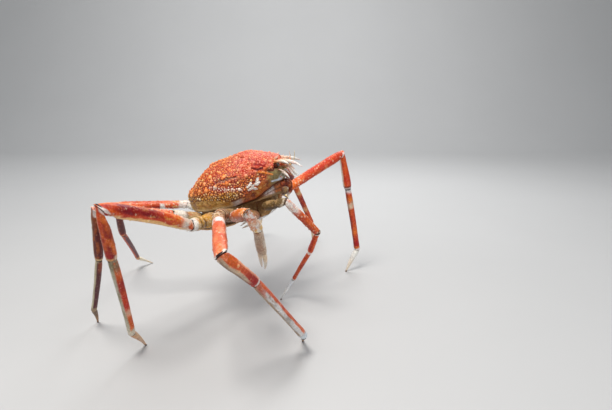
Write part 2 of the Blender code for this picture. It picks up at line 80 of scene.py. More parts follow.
# Joints from hip to foot. A leg has hip, knee, end of wrist, end of shin, foot
LEGS = {
    ("right", 2): ((123, -222, 296), (192, -155, 209), (175, -120, 152), (134, -51, 57), (101, -47, 0)),
    ("left", 2): ((122, -7, 286), (262, 88, 361), (282, 119, 262), (318, 174, 65), (285, 163, 0)),
    ("right", 3): ((-9, -291, 282), (34, -517, 273), (78, -442, 201), (161, -335, 46), (159, -270, 0)),
    ("left", 3): ((11, 29, 287), (90, 224, 312), (119, 314, 258), (186, 429, 78), (190, 448, 0)),
    ("right", 4): ((-73, -258, 253), (-171, -464, 336), (-176, -418, 236), (-179, -345, 56), (-173, -287, 0)),
    ("left", 4): ((-72, 16, 264), (2, 244, 290), (6, 339, 228), (2, 508, 84), (-12, 522, 0)),
    ("right", 5): ((-119, -226, 269), (-218, -376, 313), (-242, -318, 202), (-306, -221, 50),
                   (-319, -178, 0)),
    ("left", 5): ((-124, -58, 254), (-284, -95, 259), (-308, -10, 166), (-342, 183, 36), (-317, 241, 0)),
}
ARMS = {
    "right": ((19, -264, 273), (60, -392, 312), (74, -340, 268), (76, -288, 206), (75, -244, 156)),
    "left": ((42, 0, 280), (104, 120, 268), (110, 60, 247), (45, 40, 204), (-7, 30, 173)),
}
KNUCKLES = {
    ("right", 2): (8.2, 7.2, 5.6, 4.6),
    ("left", 2): (11.0, 10.4, 9.0, 7.6),
    ("right", 3): (11.5, 11.0, 9.6, 7.6),
    ("left", 3): (11.5, 11.0, 9.6, 7.6),
    ("right", 4): (12.4, 11.6, 9.0, 6.6),
    ("left", 4): (12.0, 11.4, 9.8, 7.6),
    ("right", 5): (9.5, 8.6, 7.2, 5.6),
    ("left", 5): (9.5, 8.6, 7.2, 5.6),
}
ARM_KNUCKLES = (10.2, 9.2, 8.4, 6.0)
# How far each fingertip stands to the side of the claw's middle
TIP_SPREAD = 4.2
TOOTH = 1.5
# How far the middle of a piece is bent off its line, as a share of its length
THIGH_BOW = {("right", 4): -0.035, ("left", 4): 0.02, ("right", 3): 0.0}
COMMON_BOW = 0.012
LOWER_BOW = 0.015
ARM_BOW = 0.01
FOOT_BOW = 0.05
NECK = {"thigh": 0.94, "wrist": 0.82, "shin": 0.88, "foot": 0.88}
FOOT_FLAT = 2.4
LIMB_COLUMNS = 64

# Along a piece, then its half width and half depth as a share of the knuckle there
HIP = ((0, 1, 1), (0.20, 1.28, 1.22), (0.40, 1.24, 1.20), (0.52, 1.10, 1.07), (0.58, 1.03, 1.02),
       (0.66, 1.16, 1.12), (0.78, 1.20, 1.16), (0.88, 1.16, 1.12), (1, 1, 1))
THIGH = ((0, 1, 1), (0.10, 1.05, 1.05), (0.30, 1.12, 1.15), (0.55, 1.12, 1.16), (0.80, 1.16, 1.16),
         (0.93, 1.12, 1.10), (1, 1, 1))
WRIST = ((0, 1, 1), (0.20, 1.02, 1.00), (0.50, 1.20, 1.16), (0.80, 1.32, 1.26), (0.92, 1.26, 1.20), (1, 1, 1))
SHIN = ((0, 1, 1), (0.08, 1.1, 1.1), (0.25, 1.14, 1.16), (0.55, 1.08, 1.12), (0.80, 1.08, 1.08),
        (0.94, 1.18, 1.12), (1, 1, 1))
CLAW = ((0, 1, 1), (0.14, 1.0, 1.15), (0.30, 0.82, 0.98), (0.50, 0.66, 0.78), (0.70, 0.52, 0.60),
        (0.88, 0.42, 0.44))
PALM = ((0, 1, 1), (0.16, 1.05, 1.15), (0.45, 1.08, 1.35), (0.75, 1.05, 1.50), (0.93, 0.96, 1.45),
        (1, 0.80, 1.25))

ORBIT_AT = (204.0, 42.0, 61.0)
ORBIT_NORMAL = (0.75, 0.60, 0.28)
EYE_FOOT = (207.0, 37.0, 58.5)
CORNEA_RADIUS = 4.1
FEELER_ROOT = (11.0, 48.0)
FEELER = ((226, 11, 48), (236, 10, 50), (245, 10, 55), (251, 12, 65), (254, 16, 78))
FEELER_RADII = (5.0, 4.6, 3.2, 1.9, 1.3, 0.8)
FEELER_JOINTS = (8.5, 17.0, 25.0)
# Spines of the face: the path, the radii along it, and how pale it is
FACE_SPINES = (
    (((203, 11, 63), (224, 21, 64), (246, 38, 59), (265, 55, 48)), (8.0, 5.8, 3.8, 0.6), 1.0),
    (((203, 30, 71), (212, 33, 75), (218, 35, 80)), (3.8, 2.2, 0.3), 0.4),
    (((184, 47, 57), (192, 54, 61), (198, 59, 63)), (4.6, 2.8, 0.5), 0.1),
    (((206, 22, 44), (218, 29, 42), (226, 34, 35), (232, 35, 25)), (4.0, 3.6, 2.6, 0.5), 1.0),
    (((206, 35, 68), (221, 40, 67), (229, 42, 63), (237, 44, 58)), (3.8, 3.3, 2.8, 0.7), 0.9),
    (((222, 20, 66), (225, 22, 69), (227, 24, 73)), (2.6, 1.6, 0.3), 0.7),
    (((240, 21, 62), (242, 17, 70), (242, 15, 79)), (2.0, 1.3, 0.3), 1.0),
    (((205, 27, 36), (212, 30, 32), (217, 32, 27)), (2.6, 1.7, 0.3), 0.4),
    (((216, 14, 56), (233, 22, 51), (236, 26, 44), (240, 28, 33), (245, 28, 23)),
     (4.0, 3.4, 3.0, 2.2, 0.4), 1.0),
    (((222, 8, 54), (239, 14, 44), (243, 15, 36), (247, 15, 28), (253, 14, 22)),
     (3.6, 3.0, 2.5, 1.9, 0.4), 1.0),
    (((220, 20, 58), (236, 29, 53), (248, 37, 43)), (2.6, 1.7, 0.3), 0.5),
    (((208, 34, 50), (217, 41, 47), (225, 45, 41)), (2.6, 1.7, 0.3), 0.6),
)
SNOUT = (((196, 0, 62), (214, 0, 63), (228, 0, 62), (236, 0, 60)), (17.0, 13.0, 9.0, 3.0))
MOUTH_WALL = ((0.50, 2), (0.56, 3), (0.68, 5), (0.80, 6), (0.92, 6), (0.965, 3))


def srgb(red, green, blue):
    """A display colour, 0 to 255, as linear light."""
    value = np.array((red, green, blue)) / 255.0
    return np.where(value <= 0.04045, value / 12.92, ((value + 0.055) / 1.055) ** 2.4)


SALMON = srgb(232, 118, 84)
ORANGE = srgb(226, 98, 44)
RED = srgb(196, 52, 36)
CRIMSON = srgb(160, 26, 26)
MAROON = srgb(88, 12, 16)
CREAM = srgb(238, 216, 188)
WHITE = srgb(242, 238, 232)
GREY = srgb(190, 186, 180)
TAN = srgb(190, 142, 104)
PINK = srgb(232, 166, 148)
YELLOW = srgb(232, 184, 104)
DARK = srgb(30, 14, 12)
HORN = srgb(96, 58, 34)
MEMBRANE = srgb(52, 20, 16)

LEFTWARD = np.array((-1.0, 0.0, 0.0))
RIGHTWARD = np.array((1.0, 0.0, 0.0))
UP = np.array((0.0, 0.0, 1.0))
DOWN = np.array((0.0, 0.0, -1.0))
NEAR = np.array((0.0, -1.0, 0.0))
AWAY = np.array((0.0, 1.0, 0.0))


def vec(values):
    return np.array(values, float)


def unit(v):
    return v / np.maximum(np.linalg.norm(v, axis=-1, keepdims=True), 1e-9)


def turn_matrix():
    turn, lean = math.radians(BODY_HEADING), -math.radians(BODY_RISE)
    about_z = np.array(((math.cos(turn), -math.sin(turn), 0), (math.sin(turn), math.cos(turn), 0), (0, 0, 1)))
    about_y = np.array(((math.cos(lean), 0, math.sin(lean)), (0, 1, 0), (-math.sin(lean), 0, math.cos(lean))))
    return about_z @ about_y


TURN = turn_matrix()


def from_body(points):
    """The body's own frame to the model's frame, in millimetres."""
    return vec(points) @ TURN.T + vec(BODY_AT)


def smooth_step(low, high, x):
    """0 up to low, 1 from high on, with a smooth rise between them."""
    t = np.clip((x - low) / (high - low), 0.0, 1.0)
    return t * t * (3 - 2 * t)


def hump(x, middle, width):
    """1 at the middle, falling off over the width on both sides of it."""
    return np.exp(-((x - middle) / width) ** 2)


def smooth_table(xs, ys, x):
    """A monotone cubic through the stations of a table, column by column."""
    xs, ys = np.asarray(xs, float), np.asarray(ys, float)
    step = np.diff(xs)
    slope = np.diff(ys, axis=0) / step[:, None]
    product = slope[:-1] * slope[1:]
    total = slope[:-1] + slope[1:]
    tangent = np.zeros_like(ys)
    tangent[0], tangent[-1] = slope[0], slope[-1]
    tangent[1:-1] = np.where(product > 0, 2 * product / np.where(np.abs(total) > 1e-12, total, 1.0), 0.0)
    k = np.clip(np.searchsorted(xs, x, side="right") - 1, 0, len(xs) - 2)
    h = step[k][:, None]
    u = (np.asarray(x)[:, None] - xs[k][:, None]) / h
    return (ys[k] * (1 + 2 * u) * (1 - u) ** 2 + tangent[k] * h * u * (1 - u) ** 2
            + ys[k + 1] * u * u * (3 - 2 * u) + tangent[k + 1] * h * u * u * (u - 1))


def lattice(points, scale, seed):
    """Smooth noise from -1 to 1 with features of one scale."""
    place = points / scale + seed * 17.31
    base = np.floor(place).astype(np.int64)
    part = place - base
    part = part * part * (3 - 2 * part)
    total = np.zeros(points.shape[:-1])
    for dx in (0, 1):
        for dy in (0, 1):
            for dz in (0, 1):
                key = ((base[..., 0] + dx) * 374761393 + (base[..., 1] + dy) * 668265263
                       + (base[..., 2] + dz) * 2147483629 + seed * 974711)
                key = (key ^ (key >> 13)) * 1274126177
                key = (key ^ (key >> 16)) & 0xFFFF
                weight = part[..., 0] if dx else 1 - part[..., 0]
                weight = weight * (part[..., 1] if dy else 1 - part[..., 1])
                weight = weight * (part[..., 2] if dz else 1 - part[..., 2])
                total += weight * (key / 32767.5 - 1)
    return total


def fractal(points, scale, seed):
    return (lattice(points, scale, seed) + 0.5 * lattice(points, scale / 2, seed + 1)
            + 0.25 * lattice(points, scale / 4, seed + 2)) / 1.75


def linear(color):
    """A colour as linear light; a plain triple is a display colour, 0 to 255."""
    return srgb(*color) if isinstance(color, tuple) else color


def mix(low, high, weight):
    weight = np.asarray(weight)[..., None]
    return linear(low) * (1 - weight) + linear(high) * weight


def add_object(name, data):
    item = bpy.data.objects.new(name, data)
    bpy.context.scene.collection.objects.link(item)
    return item


def set_in_place(mesh, name, tints, nodes, finish):
    """Paints a mesh, gives it its finish and lets it stand for its nodes."""
    mesh.shade_smooth()
    tint = mesh.attributes.new("tint", "FLOAT_COLOR", "POINT")
    tint.data.foreach_set("color", np.column_stack((tints, np.ones(len(tints)))).astype(np.float32).ravel())
    mesh.materials.append(finish)
    item = add_object(name, mesh)
    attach(item, "root")
    if nodes:
        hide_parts(*nodes)


class Surface:
    """Grids and fans gathered into one mesh, each closed part facing out."""

    def __init__(self):
        self.points, self.tints, self.faces, self.count = [], [], [], 0

    def part(self, points, tints, quads, tris):
        volume = 0.0
        for a, b, c in (quads[:, :3].T, quads[:, (0, 2, 3)].T, tris.T):
            volume += np.einsum("ij,ij->i", points[a], np.cross(points[b], points[c])).sum()
        if volume < 0:
            quads, tris = quads[:, ::-1], tris[:, ::-1]
        self.points.append(points)
        self.tints.append(tints)
        self.faces += [quads + self.count, tris + self.count]
        self.count += len(points)

    def tube(self, points, tints):
        """A grid closed round its columns, with a fan over its first and last rows."""
        rows, cols = points.shape[:2]
        index = np.arange(rows * cols).reshape(rows, cols)
        after = np.roll(index, -1, axis=1)
        quads = np.stack((index[:-1], after[:-1], after[1:], index[1:]), axis=-1).reshape(-1, 4)
        first = np.stack((after[0], index[0], np.full(cols, rows * cols)), axis=-1)
        last = np.stack((index[-1], after[-1], np.full(cols, rows * cols + 1)), axis=-1)
        tris = np.concatenate((first, last))
        flat = points.reshape(-1, 3)
        middles = np.stack((points[0].mean(0), points[-1].mean(0)))
        shades = np.stack((tints[0].mean(0), tints[-1].mean(0)))
        tints = np.concatenate((tints.reshape(-1, 3), shades))
        self.part(np.concatenate((flat, middles)), tints, quads, tris)

    def make(self, name, nodes, finish):
        points = (np.concatenate(self.points) + SHIFT) * MM
        tints = np.clip(np.concatenate(self.tints), 0.0, 1.0)
        loops, starts, at = [], [], 0
        for faces in self.faces:
            loops.append(faces.ravel())
            starts.append(at + np.arange(len(faces)) * faces.shape[1])
            at += faces.size
        loops, starts = np.concatenate(loops), np.concatenate(starts)
        mesh = bpy.data.meshes.new(name)
        mesh.vertices.add(len(points))
        mesh.vertices.foreach_set("co", points.astype(np.float32).ravel())
        mesh.loops.add(len(loops))
        mesh.loops.foreach_set("vertex_index", loops.astype(np.int32))
        mesh.polygons.add(len(starts))
        mesh.polygons.foreach_set("loop_start", starts.astype(np.int32))
        mesh.update(calc_edges=True)
        set_in_place(mesh, name, tints, nodes, finish)


def make_tube(name, nodes, finish, grid, tint):
    """A visible piece that is a single tube, its grid in the body's frame."""
    surface = Surface()
    surface.tube(from_body(grid), tint)
    surface.make(name, nodes, finish)


# Materials

# Scale of the fine pores that all hard finishes share
PIT_SCALE = 1100.0


class Finish:
    """A material, with short ways to add nodes in front of its shader."""

    def __init__(self, name):
        self.material = bpy.data.materials.new(name)
        self.material.use_nodes = True
        tree = self.material.node_tree
        self.nodes, self.links, self.shader = tree.nodes, tree.links, tree.nodes["Principled BSDF"]
        self.where = self.nodes.new("ShaderNodeTexCoord").outputs["Object"]

    def node(self, kind, numbers, sources):
        """Adds a node, sets the numbers of its sockets and links what feeds them."""
        node = self.nodes.new("ShaderNode" + kind)
        for socket, number in numbers.items():
            node.inputs[socket].default_value = number
        for socket, source in sources.items():
            self.links.new(source, node.inputs[socket])
        return node

    def noise(self, scale, detail=3.0, roughness=0.55):
        numbers = {"Scale": scale, "Detail": detail, "Roughness": roughness}
        return self.node("TexNoise", numbers, {"Vector": self.where}).outputs["Fac"]

    def cells(self, scale, feature="F1"):
        node = self.node("TexVoronoi", {"Scale": scale}, {"Vector": self.where})
        node.feature = feature
        return node.outputs["Distance"]

    def span(self, value, low, high, start, end):
        numbers = {"From Min": low, "From Max": high, "To Min": start, "To Max": end}
        return self.node("MapRange", numbers, {"Value": value}).outputs["Result"]

    def math(self, operation, left, right):
        node = self.nodes.new("ShaderNodeMath")
        node.operation = operation
        for socket, value in zip(node.inputs, (left, right)):
            if isinstance(value, float):
                socket.default_value = value
            else:
                self.links.new(value, socket)
        return node.outputs[0]

    def ramp(self, value, colors, stops=(0.0, 1.0)):
        node = self.node("ValToRGB", {}, {"Fac": value})
        for element, color, stop in zip(node.color_ramp.elements, colors, stops):
            element.position, element.color = stop, (*color, 1.0)
        return node.outputs["Color"]

    def feed(self, socket, source):
        self.links.new(source, self.shader.inputs[socket])

    def bump(self, height, strength, distance):
        node = self.node("Bump", {"Strength": strength, "Distance": distance}, {"Height": height})
        self.feed("Normal", node.outputs["Normal"])

    def settle(self, numbers):
        """Sets the shader's own numbers and returns the material."""
        for socket, number in numbers.items():
            self.shader.inputs[socket].default_value = number
        return self.material


def chitin(name, mottle, grain, fleck, bump, coat, rough=(0.34, 0.62), bump_depth=0.0006):
    """A hard shell: painted tint with mottling, darker pores, paler fine grains and an uneven gloss."""
    finish = Finish(name)
    tint = finish.nodes.new("ShaderNodeAttribute")
    tint.attribute_name = "tint"
    broad, middle = finish.noise(mottle, 4.0, 0.6), finish.noise(mottle * 5.3, 3.0, 0.6)
    cells, fine = finish.cells(grain), finish.noise(PIT_SCALE, 2.0, 0.5)
    value = finish.span(broad, 0.3, 0.7, 0.82, 1.12)
    for factor in (finish.span(middle, 0.3, 0.7, 0.84, 1.14),
                   finish.span(cells, 0.15, 0.75, 1.0 + 0.28 * fleck, 1.0 - 0.34 * fleck),
                   finish.span(fine, 0.3, 0.7, 0.93, 1.06)):
        value = finish.math("MULTIPLY", value, factor)
    shade = finish.node("HueSaturation", {}, {
        "Color": tint.outputs["Color"], "Value": value,
        "Saturation": finish.span(middle, 0.3, 0.7, 1.16, 0.92),
        "Hue": finish.span(broad, 0.3, 0.7, 0.492, 0.508)})
    finish.feed("Base Color", shade.outputs["Color"])
    gloss = finish.span(middle, 0.3, 0.7, rough[0], rough[1])
    finish.feed("Roughness", finish.math("ADD", gloss, finish.span(fine, 0.3, 0.7, -0.06, 0.06)))
    height = finish.math("MULTIPLY", cells, -0.6)
    for source, share in ((finish.cells(PIT_SCALE, "SMOOTH_F1"), 0.3), (middle, 0.7)):
        height = finish.math("ADD", height, finish.math("MULTIPLY", source, share))
    finish.bump(height, bump, bump_depth)
    return finish.settle({"Coat Weight": coat, "Coat Roughness": 0.30, "Specular IOR Level": 0.30})


def eye_finish():
    """A dark cornea with fine facets under a clear gloss."""
    finish = Finish("cornea")
    facets = finish.cells(2600.0)
    colors = (0.006, 0.004, 0.004), (0.075, 0.035, 0.018)
    finish.feed("Base Color", finish.ramp(finish.noise(220.0), colors, (0.35, 0.75)))
    finish.feed("Roughness", finish.span(facets, 0.0, 0.6, 0.12, 0.26))
    finish.bump(facets, 0.25, 0.0002)
    return finish.settle({"Coat Weight": 0.8, "Coat Roughness": 0.08})


def floor_finish():
    finish = Finish("floor")
    finish.feed("Base Color", finish.ramp(finish.noise(1.3, 4.0), ((0.50,) * 3, (0.54,) * 3)))
    return finish.settle({"Roughness": 0.75})


# Limbs

# How softly a band ends, as a share of the piece, where it isn't given
SOFT = 0.03


def layer(color, amount, band=(0.0, 1.0), face=None, patch=None, hinge=None):
    """One coat of paint: its colour, its strength and where it lies.

    A band is start, end and softness along the piece, a face is a direction and the range over which the
    coat sets in as the surface turns to it, and a patch is scale and level of the noise that breaks it up.
    A hinge of 1 keeps to the two hinge sides, one of -1 to the sides between them.
    """
    return (linear(color), amount, *(*band, SOFT)[:3], face, patch, hinge)


def paint(points, out, t, base, layers, seed):
    along = t + 0.016 * lattice(points, 13.0, seed) + 0.008 * lattice(points, 5.0, seed + 3)
    tint = np.broadcast_to(base, points.shape).copy()
    axis = unit(points[-1].mean(0) - points[0].mean(0))
    # Patches run along the piece
    flow = points - axis * (0.6 * (points @ axis))[..., None]
    for n, (color, amount, start, end, soft, face, patch, hinge) in enumerate(layers):
        weight = np.full(points.shape[:-1], amount)
        if start > 0.0:
            weight = weight * smooth_step(start - soft, start + soft, along)
        if end < 1.0:
            weight = weight * (1 - smooth_step(end - soft, end + soft, along))
        if face is not None:
            toward, low, high = face
            facing = out @ unit(toward - axis * (toward @ axis)) + 0.16 * lattice(flow, 7.0, seed + n)
            weight = weight * smooth_step(low, high, facing)
        if hinge is not None:
            turn = np.abs(np.cos(np.arange(points.shape[1]) * math.tau / points.shape[1]))
            weight = weight * smooth_step(0.45, 0.9, turn if hinge > 0 else 1 - turn)[None, :]
        if patch is not None:
            scale, level = patch
            weight = weight * smooth_step(level - 0.18, level + 0.18, fractal(flow, scale, seed + 11 * n))
        tint = mix(tint, color, weight)
    return tint


def limb_grid(start, end, radii, profile, start_normal, end_normal, normal, bow, rows, cols, relief):
    """Rings of one limb piece from joint plane to joint plane; both normals point out of the piece."""
    k = np.linspace(0.0, 1.0, rows)
    t = 0.55 * k + 0.45 * (0.5 - 0.5 * np.cos(math.pi * k))
    along = end - start
    length = np.linalg.norm(along)
    lift = unit(np.cross(normal, along)) * bow * length
    if lift[2] < 0:
        lift = -lift
    bend = (start + end) / 2 + lift
    tt = t[:, None]
    centre = start * (1 - tt) ** 2 + bend * (2 * tt * (1 - tt)) + end * tt ** 2
    slope = unit((bend - start) * (1 - tt) + (end - bend) * tt)
    side = unit(normal - slope * (slope @ normal)[:, None])
    other = np.cross(slope, side)
    size = smooth_table([p[0] for p in profile], [p[1:] for p in profile], np.minimum(t, profile[-1][0]))
    base = radii[0] + (radii[1] - radii[0]) * t
    angle = np.arange(cols) * math.tau / cols
    out = side[:, None] * np.cos(angle)[None, :, None] + other[:, None] * np.sin(angle)[None, :, None]
    ray = (side[:, None] * (np.cos(angle)[None, :] * (base * size[:, 0])[:, None])[..., None]
           + other[:, None] * (np.sin(angle)[None, :] * (base * size[:, 1])[:, None])[..., None])
    from_start, from_end = t[:, None] * length, (1 - t[:, None]) * length
    ray = ray * relief(from_start, from_end, angle[None, :], base[:, None])[..., None]
    joints = ((start_normal, radii[0], t * length), (end_normal, radii[1], (1 - t) * length))
    for plane, radius, gone in joints:
        if plane is None:
            continue
        facing = slope[0 if plane is start_normal else -1] @ plane
        tangent = math.sqrt(max(1 - facing ** 2, 0.0)) / abs(facing)
        reach = min(max(2.4 * radius * tangent, 1.2 * radius), 0.48 * length)
        near = smooth_step(0.0, 1.0, 1 - gone / reach)[:, None]
        slide = -(ray @ plane) / facing
        full = ray + slope[:, None] * slide[..., None]
        squeeze = np.linalg.norm(ray, axis=-1) / np.maximum(np.linalg.norm(full, axis=-1), 1e-6)
        ray = (ray + slope[:, None] * (slide * near)[..., None]) * (1 + (squeeze - 1) * near ** 2)[..., None]
    points = centre[:, None] + ray
    for at, plane in ((start, start_normal), (end, end_normal)):
        if plane is not None:
            over = (points - at) @ plane + HALF_GAP
            points = points - plane * np.maximum(over, 0.0)[..., None]
    return points, out, t


# How far apart grains stand, as a share of their radii, and how many rows one may reach each way
GRAIN_GAP = 1.25
GRAIN_ROWS = 8


def raise_grains(points, out, rng, count, radius, height, where=None):
    """Raises round grains in the grid and returns how much of one each point is."""
    rows, cols = points.shape[:2]
    grain = np.zeros((rows, cols))
    lift = np.zeros((rows, cols))
    placed = []
    tries = 0
    while len(placed) < count and tries < count * 30 + 1500:
        tries += 1
        i, j = rng.randrange(3, rows - 4), rng.randrange(cols)
        if where is not None and rng.random() > where[i, j]:
            continue
        at = points[i, j]
        r = rng.uniform(*radius)
        if any(np.dot(at - p, at - p) < ((r + q) * GRAIN_GAP) ** 2 for p, q in placed[-400:]):
            continue
        placed.append((at, r))
        h = rng.uniform(*height)
        low, high = max(0, i - GRAIN_ROWS), min(rows, i + GRAIN_ROWS + 1)
        gone = ((points[low:high] - at) ** 2).sum(-1) / (r * r)
        dome = np.clip(1 - gone, 0, 1)
        lift[low:high] = np.maximum(lift[low:high], h * dome ** 1.3)
        grain[low:high] = np.maximum(grain[low:high], dome)
    return points + out * lift[..., None], grain


# Rings that close a piece at its joints: share of the joint's ring, depth as a share of the radius
CUP = ((0.95, 0.0), (0.91, 0.12), (0.70, 0.34), (0.35, 0.42))
HEAD = ((0.30, 0.27), (0.60, 0.20), (0.86, 0.06))


def cap_rings(ring, plane, radius, shape, sign):
    middle = ring.mean(0)
    rings = [middle + (ring - middle) * scale + plane * (sign * depth * radius) for scale, depth in shape]
    return np.stack(rings)


def limb_relief(kind):
    """Collars, necks and grooves of a limb piece, as a share of its radius."""
    def shape(from_start, from_end, angle, radius):
        value = 1.0 - 0.13 * (1 - smooth_step(0.0, 0.42, from_start / radius))
        value = value - 0.035 * hump(from_end, 0.62 * radius, 0.16 * radius)
        value = value + 0.045 * hump(from_end, 0.26 * radius, 0.20 * radius)
        value = value - 0.05 * (1 - smooth_step(0.0, 0.09, from_end / radius))
        inside = smooth_step(0.5, 1.6, from_start / radius) * smooth_step(0.9, 2.0, from_end / radius)
        if kind == "wrist":
            for middle in (240.0, 300.0):
                value = value - 0.055 * inside * hump(np.degrees(angle), middle, 13.0)
        if kind == "foot":
            ribs = 0.5 + 0.5 * np.cos(6 * angle)
            value = value - 0.035 * smooth_step(0.4, 1.4, from_start / radius) * ribs
        if kind == "shin":
            for middle in (180.0, 0.0, 360.0):
                value = value - 0.03 * inside * hump(np.degrees(angle), middle, 16.0)
        return value
    return shape


def joint_plane(before, at, after):
    return unit(unit(at - before) + unit(after - at))


def leg_normal(points):
    return unit(np.cross(points[-1] - points[0], points[1] - points[0]))


def socket_point(side, number):
    x, y, z = SOCKETS[number]
    return from_body((x, y if side == "left" else -y, z))


def limb_piece(name, finish, grid, base, layers, seed, start_plane, end_plane, radii, grains,
               foot=False):
    points, out, t = grid
    shade_t = np.broadcast_to(t[:, None], points.shape[:2])
    rough = 0.32 * fractal(points, 15.0, seed) + 0.14 * lattice(points, 3.5, seed + 5)
    fade = smooth_step(0.0, 0.05, t) * smooth_step(0.0, 0.05, 1 - t)
    points = points + out * (rough * fade[:, None])[..., None]
    tint = paint(points, out, shade_t, base, layers, seed)
    rng = random.Random(seed)
    for count, radius, height, where, color, amount in grains:
        weight = None if where is None else where(shade_t, out)
        points, grain = raise_grains(points, out, rng, count, radius, height, weight)
        tint = mix(tint, color, amount * grain ** 0.8)
    rings, shades = [points], [tint]
    if start_plane is not None:
        head = cap_rings(points[0], start_plane, radii[0], HEAD, 1.0)
        rings.insert(0, head)
        shades.insert(0, np.broadcast_to(MEMBRANE, head.shape))
    if end_plane is not None and not foot:
        cup = cap_rings(points[-1], end_plane, radii[1], CUP, -1.0)
        rings.append(cup)
        cup_tint = np.broadcast_to(DARK, cup.shape).copy()
        cup_tint[0] = tint[-1]
        shades.append(cup_tint)
    surface = Surface()
    surface.tube(np.concatenate(rings), np.concatenate(shades))
    surface.make(name + "_skin", [name], finish)


# The dark skin at a piece's upper joint
ROOT_DARK = layer(MEMBRANE, 0.95, (0.0, 0.02, 0.008))
WRIST_DARK = layer(MEMBRANE, 0.9, (0.0, 0.02, 0.01))

# Base colours of the hips. The left second hip's dark red brown is painted shade over a red brown hip; the
# right second hip's olive brown is partly its own colour and partly painted shade.
HIP_BASE = {
    ("right", 2): srgb(104, 82, 50), ("left", 2): srgb(96, 42, 28), ("right", 3): srgb(190, 128, 92),
    ("right", 4): srgb(208, 184, 138), ("right", 5): srgb(206, 184, 138), ("left", 5): srgb(214, 190, 138),
    ("right", 1): srgb(196, 136, 108),
}


def hip_layers(side, number):
    if number == 2:
        return [
            layer((140, 106, 66), 0.5, patch=(14.0, 0.0)),
            layer((186, 150, 104), 0.6, (0.1, 1.0), patch=(5.0, 0.15)),
            # painted shade: dark brown on the faces that point down
            layer((60, 40, 26), 0.6, face=(DOWN, 0.0, 0.8)),
            layer((226, 214, 192), 0.8, (0.80, 0.94, 0.05), patch=(7.0, -0.1)),
            layer(MEMBRANE, 0.4, (0.55, 0.60, 0.02)),
            layer(MEMBRANE, 0.8, (0.93, 1.0, 0.03)),
        ]
    coats = [
        # painted light and shade: paler on the upward faces near the root, dark brown on the faces that point
        # down
        layer((204, 150, 106), 0.5, (0.0, 0.6), face=(UP, -0.1, 0.5)),
        layer((104, 70, 46), 0.8, face=(DOWN, 0.0, 0.7)),
        layer((190, 96, 54), 0.6, (0.3, 1.0), patch=(9.0, 0.15)),
        layer((146, 128, 86), 0.6, patch=(13.0, 0.12)),
        layer(MEMBRANE, 0.6, (0.55, 0.60, 0.02)),
        layer(CREAM, 0.5, (0.62, 0.67, 0.03), patch=(9.0, 0.0)),
        layer(MEMBRANE, 0.8, (0.0, 0.06, 0.02)),
    ]
    if (side, number) == ("right", 3):
        for start in (0.66, 0.78, 0.90):
            coats.append(layer(MEMBRANE, 0.75, (start, start + 0.045, 0.015)))
            coats.append(layer(CREAM, 0.5, (start + 0.05, start + 0.08, 0.015)))
    elif (side, number) == ("right", 4):
        coats.append(layer((214, 160, 74), 0.8, (0.35, 0.85, 0.1), patch=(9.0, -0.2)))
        for start in (0.60, 0.74):
            coats.append(layer((70, 40, 24), 0.8, (start, start + 0.04, 0.02), patch=(10.0, -0.2)))
            coats.append(layer(CREAM, 0.7, (start + 0.05, start + 0.09, 0.02), patch=(8.0, -0.1)))
        coats.append(layer(WHITE, 0.9, (0.86, 1.0, 0.04), patch=(11.0, -0.25)))
    elif number in (4, 5):
        coats.append(layer(WHITE, 0.85, (0.60, 1.0, 0.08), patch=(11.0, -0.15)))
        coats.append(layer((120, 84, 50), 0.7, (0.60, 0.95), patch=(6.0, 0.30)))
    coats.append(layer(MEMBRANE, 0.8, (0.97, 1.0, 0.012), hinge=-1))
    return coats


def thigh_layers(top, under, band=0.7, line=0.4):
    """Coats of the long upper piece: painted light on the top, painted shade on the underside, a pale lower
    line and its two ends.
    """
    return [
        # painted shade on the underside and painted light on the top
        layer(under, 0.9, face=(DOWN, -0.2, 0.6)),
        layer(top, 0.7, face=(UP, 0.1, 0.9)),
        layer(mix(top, CREAM, 0.4), 0.35, patch=(20.0, 0.30)),
        layer(RED, 0.45, patch=(15.0, 0.18)),
        layer(YELLOW, line, (0.1, 0.9), face=(DOWN, 0.86, 0.98)),
        layer(CRIMSON, band, (0.86, 0.96, 0.03), patch=(30.0, -0.3)),
        layer(WHITE, 0.85, (0.965, 1.0, 0.008), hinge=1),
        layer(DARK, 0.8, (0.985, 1.0, 0.006), hinge=-1),
        layer(MEMBRANE, 0.95, (0.0, 0.018, 0.008)),
    ]


def wrist_layers(far, ring=WHITE):
    return [
        layer(far, 0.95, (0.5, 1.0, 0.2)),
        # painted shade: maroon on the faces that point down
        layer(MAROON, 0.85, face=(DOWN, 0.0, 0.6)),
        layer(RED, 0.5, patch=(11.0, 0.2)),
        layer(YELLOW, 0.5, patch=(7.0, 0.42)),
        layer(ring, 0.6, (0.96, 1.0, 0.012), patch=(9.0, -0.25)),
        layer(ring, 0.8, (0.945, 1.0, 0.015), hinge=1),
        layer(WHITE, 0.7, (0.02, 0.09, 0.02), hinge=1),
        layer(MEMBRANE, 0.95, (0.0, 0.05, 0.015), hinge=-1),
        WRIST_DARK,
    ]


def shin_layers(bands):
    return [layer(color, amount, (start, end, 0.04)) for color, start, end, amount in bands] + [
        layer(ORANGE, 0.5, patch=(8.0, 0.25)),
        # painted shade: maroon on the faces that point left and down, away from the light
        layer(MAROON, 0.45, face=(LEFTWARD + DOWN, 0.3, 0.9)),
        layer(WHITE, 0.9, (0.955, 1.0, 0.012)),
        ROOT_DARK,
    ]


def foot_layers(body, far=TAN):
    return [
        layer(body, 0.6, patch=(12.0, 0.1)),
        layer(far, 0.6, (0.45, 1.0, 0.2)),
        layer(HORN, 0.9, (0.93, 1.0, 0.04)),
        layer(MEMBRANE, 0.95, (0.0, 0.03, 0.01)),
    ]


BANDS = [(CREAM, 0.0, 0.35, 0.7), (RED, 0.35, 0.6, 0.8), (CREAM, 0.6, 0.72, 0.6), (CRIMSON, 0.78, 0.95, 0.9)]

